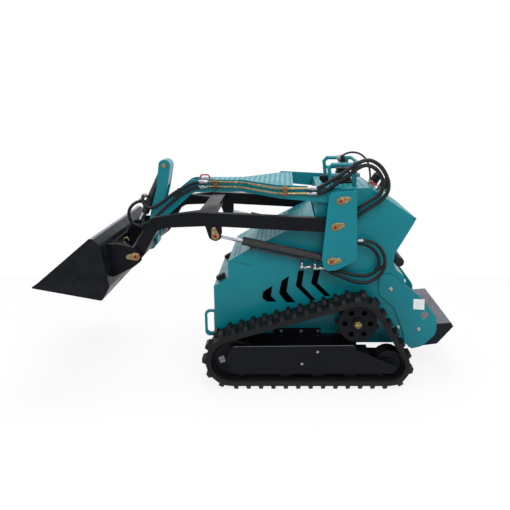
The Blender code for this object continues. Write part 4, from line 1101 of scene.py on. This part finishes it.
@dataclass
class Valve:
    """The control valve's flange, its screws and its rubber boot, long across the machine."""

    centre: Flat = (-0.535, 0.0)
    deck: float = 1.0985
    flange: Point = (0.124, 0.222, 0.012)
    flange_up: float = 0.0065
    flange_bevel: float = 0.003
    screws: Flat = (0.053, 0.098)
    screw: Outline = ((0.006, 0.0), (0.006, 0.004), (0.005, 0.005))
    boot_up: float = 0.0115
    boot_r: Flat = (0.055, 0.038)
    boot_tall: float = 0.078
    folds: int = 6
    fold_shares: Point = (0.25, 0.65, 0.95)
    groove: float = 0.009
    stretch: float = 1.8

    def build(self) -> None:
        """Builds the valve in place of the CAD's cluster."""
        block = MeshMaker("control_valve")
        x, y = self.centre
        block.box(self.flange, Matrix.Translation((x, y, self.deck + self.flange_up)), self.flange_bevel)
        along, across = self.screws
        for dx in (-along, along):
            for dy in (-across, across):
                screw = Matrix.Translation((x + dx, y + dy, self.deck + self.flange[2]))
                block.lathe(self.screw, screw, HEXAGON)
        self.boot(block)
        made = block.finish(BLACK_PLASTIC, Body.CHASSIS, Slot.PLASTIC, smooth=25)
        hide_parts("valve_and_levers")

    def boot(self, maker: MeshMaker) -> None:
        """Adds the boot, whose folds have square shoulders and shrink towards the top.

        Args:
            maker: The mesh that gathers it.
        """
        profile = []
        (wide, narrow), step = self.boot_r, self.boot_tall / self.folds
        first, second, last = self.fold_shares
        for k in range(self.folds):
            r = wide + (narrow - wide) * k / (self.folds - 1)
            base = k * step
            profile += [(r - self.groove, base), (r, base + first * step), (r, base + second * step)]
            profile += [(r - self.groove, base + last * step)]
        place = Matrix.Translation((*self.centre, self.deck + self.boot_up))
        maker.lathe(profile, place @ Matrix.Diagonal((1.0, self.stretch, 1.0, 1.0)), steps=32)


@dataclass
class Levers:
    """A bright pilot lever with its knob, and a black grip, both out of the valve's boot."""

    bright: tuple[Point, ...] = ((-0.516, 0.045, 1.180), (-0.511, 0.045, 1.205), (-0.506, 0.045, 1.232))
    bright_r: float = 0.0055
    knob: Outline = (
        (0.006, -0.006), (0.0105, -0.002), (0.0115, 0.006), (0.0115, 0.020), (0.009, 0.027), (0.003, 0.029),
    )
    knob_way: Point = (0.10, 0, 1)
    black: tuple[Point, ...] = ((-0.548, -0.045, 1.180), (-0.545, -0.045, 1.205), (-0.538, -0.045, 1.220))
    black_r: float = 0.0070
    grip: Outline = (
        (0.010, 0), (0.0160, 0.006), (0.0150, 0.020), (0.0175, 0.036), (0.0160, 0.046), (0.006, 0.050),
    )
    grip_way: Point = (0.35, 0, 1)

    def build(self) -> None:
        """Builds both levers."""
        bright, black = MeshMaker("pilot_lever"), MeshMaker("lever_grip")
        bright.sweep([Vector(p) for p in self.bright], self.bright_r, steps=12)
        bright.lathe(self.knob, facing(self.bright[-1], self.knob_way))
        black.sweep([Vector(p) for p in self.black], self.black_r, steps=12)
        black.lathe(self.grip, facing(self.black[1], self.grip_way))
        bright.finish(BRIGHT_ZINC, Body.CHASSIS, Slot.STEEL)
        black.finish(BLACK_PLASTIC, Body.CHASSIS, Slot.PLASTIC)


@dataclass
class Couplers:
    """Four quick couplers on the rear slope with ribbed dust caps and coloured rings, and the pilot hose.

    The bank's rows are (x, z) places on the slope, and its columns are y.
    """

    rows: Outline = ((-0.684, 1.0880), (-0.736, 1.0540))
    columns: Flat = (0.105, 0.175)
    slope_normal: Point = (-0.548, 0.0, 0.836)
    collar: Outline = ((0.019, -0.006), (0.019, 0.012), (0.015, 0.014), (0.015, 0.026))
    ring: Outline = ((0.021, 0.018), (0.0225, 0.020), (0.0225, 0.029), (0.021, 0.031))
    cap_rib: Outline = ((0.0165, 0.0300), (0.0200, 0.0320), (0.0200, 0.0350), (0.0165, 0.0375))
    cap_ribs: int = 6
    cap_pitch: float = 0.008
    cap_end: Outline = ((0.012, 0.084), (0.004, 0.086))
    hose: tuple[Point, ...] = (
        (-0.535, -0.112, 1.112), (-0.530, -0.140, 1.170), (-0.536, -0.150, 1.224), (-0.566, -0.150, 1.251),
        (-0.612, -0.148, 1.260), (-0.660, -0.142, 1.247), (-0.700, -0.136, 1.205), (-0.718, -0.135, 1.140),
        (-0.722, -0.135, 1.060),
    )
    hose_r: float = 0.0060

    def build(self) -> None:
        """Builds the couplers, whose ring colours alternate, and the thin hose that arches to them."""
        caps, collars = MeshMaker("coupler_caps"), MeshMaker("coupler_collars")
        red, green = MeshMaker("coupler_rings_red"), MeshMaker("coupler_rings_green")
        ribs = [(r, z + k * self.cap_pitch) for k in range(self.cap_ribs) for r, z in self.cap_rib]
        for (x, z), colours in zip(self.rows, ((green, red), (red, green))):
            for y, rings in zip(self.columns, colours):
                place = facing((x, y, z), self.slope_normal)
                collars.lathe(self.collar, place, HEXAGON)
                rings.lathe(self.ring, place, steps=10)
                caps.lathe([*ribs, *self.cap_end], place, steps=16)
        caps.finish(BLACK_PLASTIC, Body.CHASSIS, Slot.PLASTIC, smooth=25)
        collars.finish(BRIGHT_ZINC, Body.CHASSIS, Slot.STEEL)
        red.finish(RED_VINYL, Body.CHASSIS, Slot.RED)
        green.finish(GREEN_PLASTIC, Body.CHASSIS, Slot.PLASTIC)

        hose = MeshMaker("pilot_hose")
        hose.sweep(smooth_route(self.hose), self.hose_r, steps=12)
        hose.finish(HOSE_COVER, Body.CHASSIS, Slot.RUBBER)


@dataclass
class FillerCap:
    """The ribbed rim of the tank's cap, and the raised disc on it."""

    centre: Point = (-0.428, 0.0, 1.1040)
    radius: float = 0.0305
    ribs: int = 24
    rib: Point = (0.0024, 0.0040, 0.026)
    rib_up: float = 0.015
    rib_bevel: float = 0.0006
    disc: Outline = ((0.020, 0.0290), (0.020, 0.0325), (0.018, 0.0335))

    def build(self) -> None:
        """Builds the ribs and the disc."""
        maker = MeshMaker("filler_cap_ribs")
        cap = Matrix.Translation(self.centre)
        for a in turns(self.ribs):
            out = Matrix.Translation((self.radius, 0, self.rib_up))
            maker.box(self.rib, cap @ Matrix.Rotation(a, 4, "Z") @ out, self.rib_bevel)
        maker.lathe(self.disc, cap, steps=28)
        maker.finish(BLACK_PLASTIC, Body.CHASSIS, Slot.PLASTIC)


@dataclass
class HandleBase:
    """The dipped strip that the red handle stands on."""

    size: Point = (0.086, 0.014, 0.004)
    at: Point = (0.276, 0.045, 1.1192)
    bevel: float = 0.0015

    def build(self) -> None:
        """Builds the strip."""
        maker = MeshMaker("handle_base")
        maker.box(self.size, Matrix.Translation(self.at), self.bevel)
        maker.finish(RED_VINYL, Body.LINK, Slot.RED)


# Hydraulics

# The hoses' routes are those of the CAD's, from fitting to fitting.
LINK_OUTER = (
    (-0.3353, 0.372, 1.106), (-0.354, 0.372, 1.106), (-0.395, 0.380, 1.121),
    *bent(0.385, (
        (-0.443, 1.153), (-0.501, 1.188), (-0.548, 1.223), (-0.590, 1.248), (-0.638, 1.2586),
        (-0.686, 1.238), (-0.720, 1.201), (-0.743, 1.153), (-0.748, 1.110), (-0.736, 1.072),
        (-0.700, 1.034), (-0.657, 1.006), (-0.609, 0.973), (-0.572, 0.946), (-0.552, 0.937),
    )),
    (-0.539, 0.377, 0.933), (-0.534, 0.360, 0.932), (-0.534, 0.3363, 0.932),
)
LINK_INNER = (
    (-0.3353, 0.372, 1.078), (-0.354, 0.372, 1.078), (-0.400, 0.380, 1.087),
    *bent(0.385, (
        (-0.443, 1.115), (-0.491, 1.148), (-0.538, 1.183), (-0.580, 1.215), (-0.623, 1.231),
        (-0.666, 1.219), (-0.699, 1.185), (-0.717, 1.142), (-0.713, 1.099), (-0.693, 1.067),
        (-0.656, 1.045), (-0.608, 1.012), (-0.572, 0.982), (-0.556, 0.972),
    )),
    (-0.546, 0.377, 0.968), (-0.541, 0.360, 0.967), (-0.541, 0.3363, 0.967),
)
LIFT_OUTER = (
    (-0.512, 0.3363, 0.823), (-0.512, 0.368, 0.823), (-0.519, 0.392, 0.823),
    *bent(0.4045, (
        (-0.540, 0.823), (-0.601, 0.824), (-0.645, 0.821), (-0.695, 0.798), (-0.730, 0.753),
        (-0.743, 0.702), (-0.729, 0.644), (-0.691, 0.604), (-0.636, 0.583), (-0.580, 0.589),
        (-0.524, 0.609), (-0.451, 0.640), (-0.418, 0.657), (-0.396, 0.667), (-0.3783, 0.667),
    )),
)
LIFT_INNER = (
    (-0.5335, 0.3363, 0.800), (-0.5335, 0.360, 0.800), (-0.541, 0.375, 0.800),
    *bent(0.3825, (
        (-0.558, 0.801), (-0.602, 0.802), (-0.646, 0.790), (-0.688, 0.759), (-0.712, 0.713),
        (-0.710, 0.668), (-0.685, 0.635), (-0.641, 0.618), (-0.585, 0.621), (-0.529, 0.634),
        (-0.473, 0.648), (-0.412, 0.660), (-0.350, 0.667), (-0.3063, 0.667),
    )),
)
TIP_UPPER_PORT = (0.657, 0.0403, 1.0145)
TIP_LOWER_PORT = (0.6766, 0.0403, 0.9864)
TIP_OUTER = (
    (0.2853, 0.0935, 1.106), (0.301, 0.0935, 1.106),
    *bent(0.096, (
        (0.322, 1.104), (0.348, 1.098), (0.379, 1.085), (0.415, 1.067), (0.463, 1.041), (0.512, 1.004),
        (0.567, 0.966), (0.600, 0.953), (0.627, 0.957),
    )),
    (0.645, 0.091, 0.975), (0.655, 0.078, 0.999), (0.657, 0.060, 1.0145), TIP_UPPER_PORT,
)
TIP_INNER = (
    (0.2853, 0.0935, 1.078), (0.301, 0.0935, 1.078),
    *bent(0.096, (
        (0.322, 1.074), (0.352, 1.066), (0.392, 1.049), (0.440, 1.018), (0.489, 0.978), (0.551, 0.925),
        (0.601, 0.881), (0.644, 0.856), (0.687, 0.847), (0.720, 0.864), (0.736, 0.903),
    )),
    (0.734, 0.093, 0.938), (0.716, 0.086, 0.966), (0.694, 0.074, 0.982), (0.6766, 0.058, 0.9864),
    TIP_LOWER_PORT,
)


@dataclass
class Fitting:
    """A crimped hose end: a stub and a hexagon on the pipe's side, and a ribbed sleeve over the hose.

    Its profiles hold shares of the hose's radius.
    """

    point: Point
    direction: Point
    hose_r: float
    stub: Outline = ((0.80, -0.0240), (0.80, -0.0150))
    hexagon: Outline = ((1.05, -0.0165), (1.14, -0.0150), (1.14, -0.0030), (1.05, -0.0015))
    mouth: Outline = ((0.95, -0.0020), (1.18, 0.0010))
    rib: Outline = ((1.20, 0.0040), (1.20, 0.0090), (1.10, 0.0100), (1.10, 0.0115))
    ribs: int = 3
    pitch: float = 0.008
    end: Outline = ((1.18, 0.0290), (1.04, 0.0315))
    spin: float = 30.0

    def add(self, maker: MeshMaker) -> None:
        """Adds the fitting, whose direction runs from its pipe into its hose.

        Args:
            maker: The mesh that gathers it.
        """
        place = facing(self.point, self.direction, self.spin)
        ribs = [(share, z + k * self.pitch) for k in range(self.ribs) for share, z in self.rib]
        sleeve = (*self.mouth, *ribs, *self.end)
        for profile, steps in ((self.stub, ROUND), (self.hexagon, HEXAGON), (sleeve, ROUND)):
            maker.lathe([(share * self.hose_r, z) for share, z in profile], place, steps)


@dataclass
class HosePair:
    """Two hoses side by side with a clip between them, from one body to the next across a joint.

    The clip and the spiral guard are placed by the routes' knots. The clip's size is two shares of
    the hose's radius and a length.
    """

    name: str
    node: str
    routes: tuple[Sequence[Point], Sequence[Point]]
    radius: float
    bodies: tuple[Body, Body]
    turn_from: Point
    turn_to: Point
    clip: int
    guard: tuple[int, int] | None = None
    steps: int = 5
    clip_size: Point = (2.5, 2.4, 0.012)
    clip_bevel: float = 0.003
    guard_r: float = 0.0016
    guard_gap: float = 0.0008

    def build(self, side: int = 1) -> None:
        """Builds the pair in place of its CAD node.

        Args:
            side: 1 on the left, -1 on the right.
        """
        maker = MeshMaker(self.name)
        lines = [smooth_route([(x, side * y, z) for x, y, z in route], self.steps) for route in self.routes]
        for line in lines:
            maker.sweep(line, self.radius, steps=14)
        first, second = (line[self.steps * self.clip + self.steps // 2] for line in lines)
        gap = second - first
        wide, deep, long = self.clip_size
        turn = gap.to_track_quat("X", "Y").to_matrix().to_4x4()
        size = (gap.length + wide * self.radius, deep * self.radius, long)
        maker.box(size, Matrix.Translation((first + second) / 2) @ turn, self.clip_bevel)
        if self.guard:
            start, end = self.guard
            for line in lines:
                self.wrap(maker, line[self.steps * start : self.steps * end])
        made = maker.finish(HOSE_COVER, None, Slot.RUBBER)
        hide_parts(self.node)
        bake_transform(made)

    def wrap(self, maker: MeshMaker, line: Sequence[Vector], parts: int = 6, parts_a_turn: int = 7) -> None:
        """Winds a spiral guard round a hose.

        Args:
            maker: The mesh that gathers it.
            line: The stretch of the hose's centre line that it covers.
            parts: How many parts of the coil lie between two points of the line.
            parts_a_turn: How many parts make one turn.
        """
        coil = []
        for i, (point, following) in enumerate(zip(line, line[1:])):
            ahead = (following - point).normalized()
            side = (Vector(OUTWARD) - ahead * ahead.y).normalized()
            lift = ahead.cross(side)
            for part in range(parts):
                a = 2 * math.pi * (parts * i + part) / parts_a_turn
                out = (self.radius + self.guard_gap) * (side * math.cos(a) + lift * math.sin(a))
                coil.append(point.lerp(following, part / parts) + out)
        maker.sweep(coil, self.guard_r, steps=6)


@dataclass
class Hydraulics:
    """The hoses, their fittings and ports, and the clamps on the link's steel pipes."""

    hose_r: float = 0.0105
    small_r: float = 0.0095
    pipe_z: Flat = (1.106, 1.078)
    pipe_rear: Flat = (-0.335, 0.372)
    pipe_front: Flat = (0.285, 0.0935)
    pipe_front_way: Point = (1, -0.015, 0)
    gate: Point = (-0.588, 0.4045, 0.8235)
    ports: Outline = ((-0.356, 0.4045), (-0.284, 0.3825))
    port_z: float = 0.667
    port_reach: float = 0.0223
    port_ball: float = 0.0135
    port_ball_lean: float = 80.0
    port_nut: Outline = ((0.0090, 0.010), (0.0105, 0.012), (0.0105, 0.024), (0.0090, 0.026))
    tilt_seat: float = 0.004
    clamps: Outline = ((0.215, 0.0743), (-0.190, 0.3573))
    clamp: Point = (0.026, 0.0272, 0.0552)
    clamp_z: float = 1.092
    clamp_out: float = 0.0132
    clamp_bevel: float = 0.002
    eye: Outline = ((0.0085, -0.0150), (0.0085, 0.0150))
    eye_out: float = 0.0195
    clamp_bolt_out: float = 0.0268

    def build(self) -> None:
        """Builds every hose and fitting."""
        HosePair(
            "link_hose_pair", "link_hoses", (LINK_OUTER, LINK_INNER), self.hose_r, (Body.LINK, Body.CHASSIS),
            (-0.340, 0.385, 1.096), (-0.552, 0.385, 1.039), clip=5, guard=(8, 13),
        ).build()
        HosePair(
            "tip_hose_pair", "tip_hoses", (TIP_OUTER, TIP_INNER), self.small_r, (Body.LINK, Body.KNUCKLE),
            (0.400, 0.096, 1.000), (0.600, 0.096, 1.000), clip=5,
        ).build()
        for side, word, barrel in ((1, "left", Body.LIFT_BARREL_LEFT), (-1, "right", Body.LIFT_BARREL_RIGHT)):
            HosePair(
                f"lift_hose_pair_{word}", f"lift_hoses_{word}", (LIFT_OUTER, LIFT_INNER), self.small_r,
                (Body.CHASSIS, barrel), (-0.600, 0.393, 0.700), (-0.452, 0.393, 0.589), clip=8,
            ).build(side)
            self.barrel_ports(side, word, barrel)
        self.fittings()
        self.pipe_clamps()

    def barrel_ports(self, side: int, word: str, barrel: Body) -> None:
        """Builds the bright nuts and balls on one lift barrel's ports.

        Args:
            side: 1 on the left, -1 on the right.
            word: The side's name.
            barrel: The barrel's body.
        """
        maker = MeshMaker(f"lift_port_nuts_{word}")
        lean = math.radians(self.port_ball_lean)
        for x, y in self.ports:
            Fitting((x - self.port_reach, side * y, self.port_z), BACK, self.small_r).add(maker)
            ball = facing((x, side * y, self.port_z), UP)
            maker.lathe(arc((0.0, 0.0), self.port_ball, -lean, lean, steps=8), ball)
            maker.lathe(self.port_nut, ball, HEXAGON)
        maker.finish(BRIGHT_ZINC, barrel, Slot.STEEL)

    def fittings(self) -> None:
        """Builds the crimped ends on the link's pipes and the tower's gate, and the tilt barrel's nuts."""
        link, gate = MeshMaker("pipe_end_fittings"), MeshMaker("tower_hose_ferrules")
        tilt, port = MeshMaker("tilt_port_nuts"), Fastener(head=0.0125, tall=0.013)
        for z in self.pipe_z:
            Fitting((*self.pipe_rear, z), BACK, self.hose_r).add(link)
            Fitting((*self.pipe_front, z), self.pipe_front_way, self.small_r).add(link)
        link.finish(BRIGHT_ZINC, Body.LINK, Slot.STEEL)
        Fitting(self.gate, BACK, self.small_r).add(gate)
        gate.mirror()
        gate.finish(BRIGHT_ZINC, Body.CHASSIS, Slot.STEEL)
        for x, y, z in (TIP_UPPER_PORT, TIP_LOWER_PORT):
            port.add(tilt, (x, y - self.tilt_seat, z), OUTWARD)
        tilt.finish(BRIGHT_ZINC, Body.TILT_BARREL, Slot.STEEL)

    def pipe_clamps(self) -> None:
        """Builds the bronze-toned clamp halves and their bolts over the CAD's blocks."""
        maker = MeshMaker("pipe_clamps")
        for x, face in self.clamps:
            place = Matrix.Translation((x, face + self.clamp_out, self.clamp_z))
            maker.box(self.clamp, place, self.clamp_bevel)
            for z in self.pipe_z:
                maker.lathe(self.eye, facing((x, face + self.eye_out, z), AHEAD))
            bolt = (x, face + self.clamp_bolt_out, self.clamp_z)
            Fastener(head=0.0060, tall=0.005, spin=10).add(maker, bolt, OUTWARD)
        maker.finish(BRONZE_ZINC, Body.LINK, Slot.ZINC)


# Studio


@dataclass(frozen=True)
class SoftBox:
    """A round soft lamp: its place, its diameter and its power in watts."""

    name: str
    place: Point
    size: float
    power: float


@dataclass
class Studio:
    """A pale floor, plain soft light and the camera of the photograph."""

    paper: str = "#fafafa"
    paper_share: float = 0.86
    half_floor: Flat = (2.6, 1.75)
    floor_z: float = -0.0005
    white: tuple[float, float, float, float] = (1.0, 1.0, 1.0, 1.0)
    ambient: float = 0.52
    boxes: tuple[SoftBox, ...] = (
        SoftBox("key_box", (-1.2, 3.2, 3.4), 2.4, 72.0),
        SoftBox("front_fill", (3.6, 1.6, 2.2), 2.0, 20.0),
        SoftBox("top_box", (0.0, -0.8, 4.0), 3.0, 85.0),
    )
    lit: Point = (0.0, 0.0, 0.5)
    lens_px: float = 600.0
    frame_px: float = 510.0
    centre_shift_px: float = 30.0
    sensor_mm: float = 36.0
    sight: float = 100.0
    eye: Point = (-0.190, 3.610, 1.544)
    pitch: float = 14.04

    def build(self) -> None:
        """Builds the floor, the world, the lamps and the camera."""
        self.floor()
        self.world()
        self.lamps()
        self.camera()
        bpy.context.scene.view_settings.view_transform = "Standard"

    def floor(self) -> None:
        """Lays the paper, which looks white to the camera but keeps the machine's shadow."""
        (x, y), z = self.half_floor, self.floor_z
        mesh = bpy.data.meshes.new("studio_floor")
        mesh.from_pydata([(-x, -y, z), (x, -y, z), (x, y, z), (-x, y, z)], [], [(0, 1, 2, 3)])
        made = bpy.data.objects.new("studio_floor", mesh)
        bpy.context.scene.collection.objects.link(made)
        paper = bpy.data.materials.new("seamless_paper")
        paper.use_nodes = True
        tree = paper.node_tree
        tree.nodes.clear()
        lit = add_node(tree, "BsdfDiffuse", {"Color": linear(self.paper)})
        glow = add_node(tree, "Emission", {"Color": self.white, "Strength": 1.0})
        share = add_node(tree, "Math", {0: self.seen(tree), 1: self.paper_share}, operation="MULTIPLY")
        both = add_node(tree, "MixShader", {0: share.outputs[0], 1: lit.outputs[0], 2: glow.outputs[0]})
        add_node(tree, "OutputMaterial", {"Surface": both.outputs[0]})
        mesh.materials.append(paper)

    def seen(self, tree: bpy.types.NodeTree) -> Socket:
        """Says whether a ray sees the background: straight on, mirrored, or through a clear piece.

        Args:
            tree: The tree that the nodes go into.

        Returns:
            1 for such a ray, and 0 for one that only lights the machine.
        """
        rays = add_node(tree, "LightPath").outputs
        any_ray = rays["Is Camera Ray"]
        for kind in ("Is Glossy Ray", "Is Transmission Ray"):
            any_ray = add_node(tree, "Math", {0: any_ray, 1: rays[kind]}, operation="MAXIMUM").outputs[0]
        return any_ray

    def world(self) -> None:
        """Surrounds the machine with soft light that is white where it is seen."""
        world = bpy.data.worlds.new("studio")
        bpy.context.scene.world = world
        world.use_nodes = True
        tree = world.node_tree
        tree.nodes.clear()
        strengths = {0: self.seen(tree), 2: self.ambient, 3: 1.0}
        strength = add_node(tree, "Mix", strengths, data_type="FLOAT").outputs[0]
        back = add_node(tree, "Background", {"Strength": strength, "Color": self.white})
        add_node(tree, "OutputWorld", {"Surface": back.outputs[0]})

    def lamps(self) -> None:
        """Hangs the key box above the near side, a weak fill at the front, and the top box."""
        for box in self.boxes:
            light = bpy.data.lights.new(box.name, "AREA")
            light.shape = "DISK"
            light.size = box.size
            light.energy = box.power
            lamp = bpy.data.objects.new(box.name, light)
            lamp.location = box.place
            lamp.rotation_euler = (Vector(box.place) - Vector(self.lit)).to_track_quat("Z", "Y").to_euler()
            bpy.context.scene.collection.objects.link(lamp)

    def camera(self) -> None:
        """Stands the camera where the photograph was taken from."""
        lens = bpy.data.cameras.new("photo_camera")
        lens.sensor_width = self.sensor_mm
        lens.sensor_fit = "HORIZONTAL"
        lens.lens = self.lens_px / self.frame_px * self.sensor_mm
        lens.shift_x = -self.centre_shift_px / self.frame_px
        lens.clip_end = self.sight
        eye = bpy.data.objects.new("photo_camera", lens)
        eye.location = self.eye
        eye.rotation_euler = (math.radians(90.0 - self.pitch), 0.0, math.pi)
        bpy.context.scene.collection.objects.link(eye)
        bpy.context.scene.camera = eye


def main() -> None:
    """Builds the looks in order."""
    logging.basicConfig(level=logging.INFO, format="%(message)s")
    for part in (
        CadDress(), Hydraulics(), TreadPlates(), Bolts(), PinFlags(), AxleNuts(), WorkLamp(), BodyTrim(),
        BucketTrim(), Valve(), Levers(), Couplers(), FillerCap(), HandleBase(), Studio(),
    ):
        part.build()


if __name__ == "__main__":
    main()
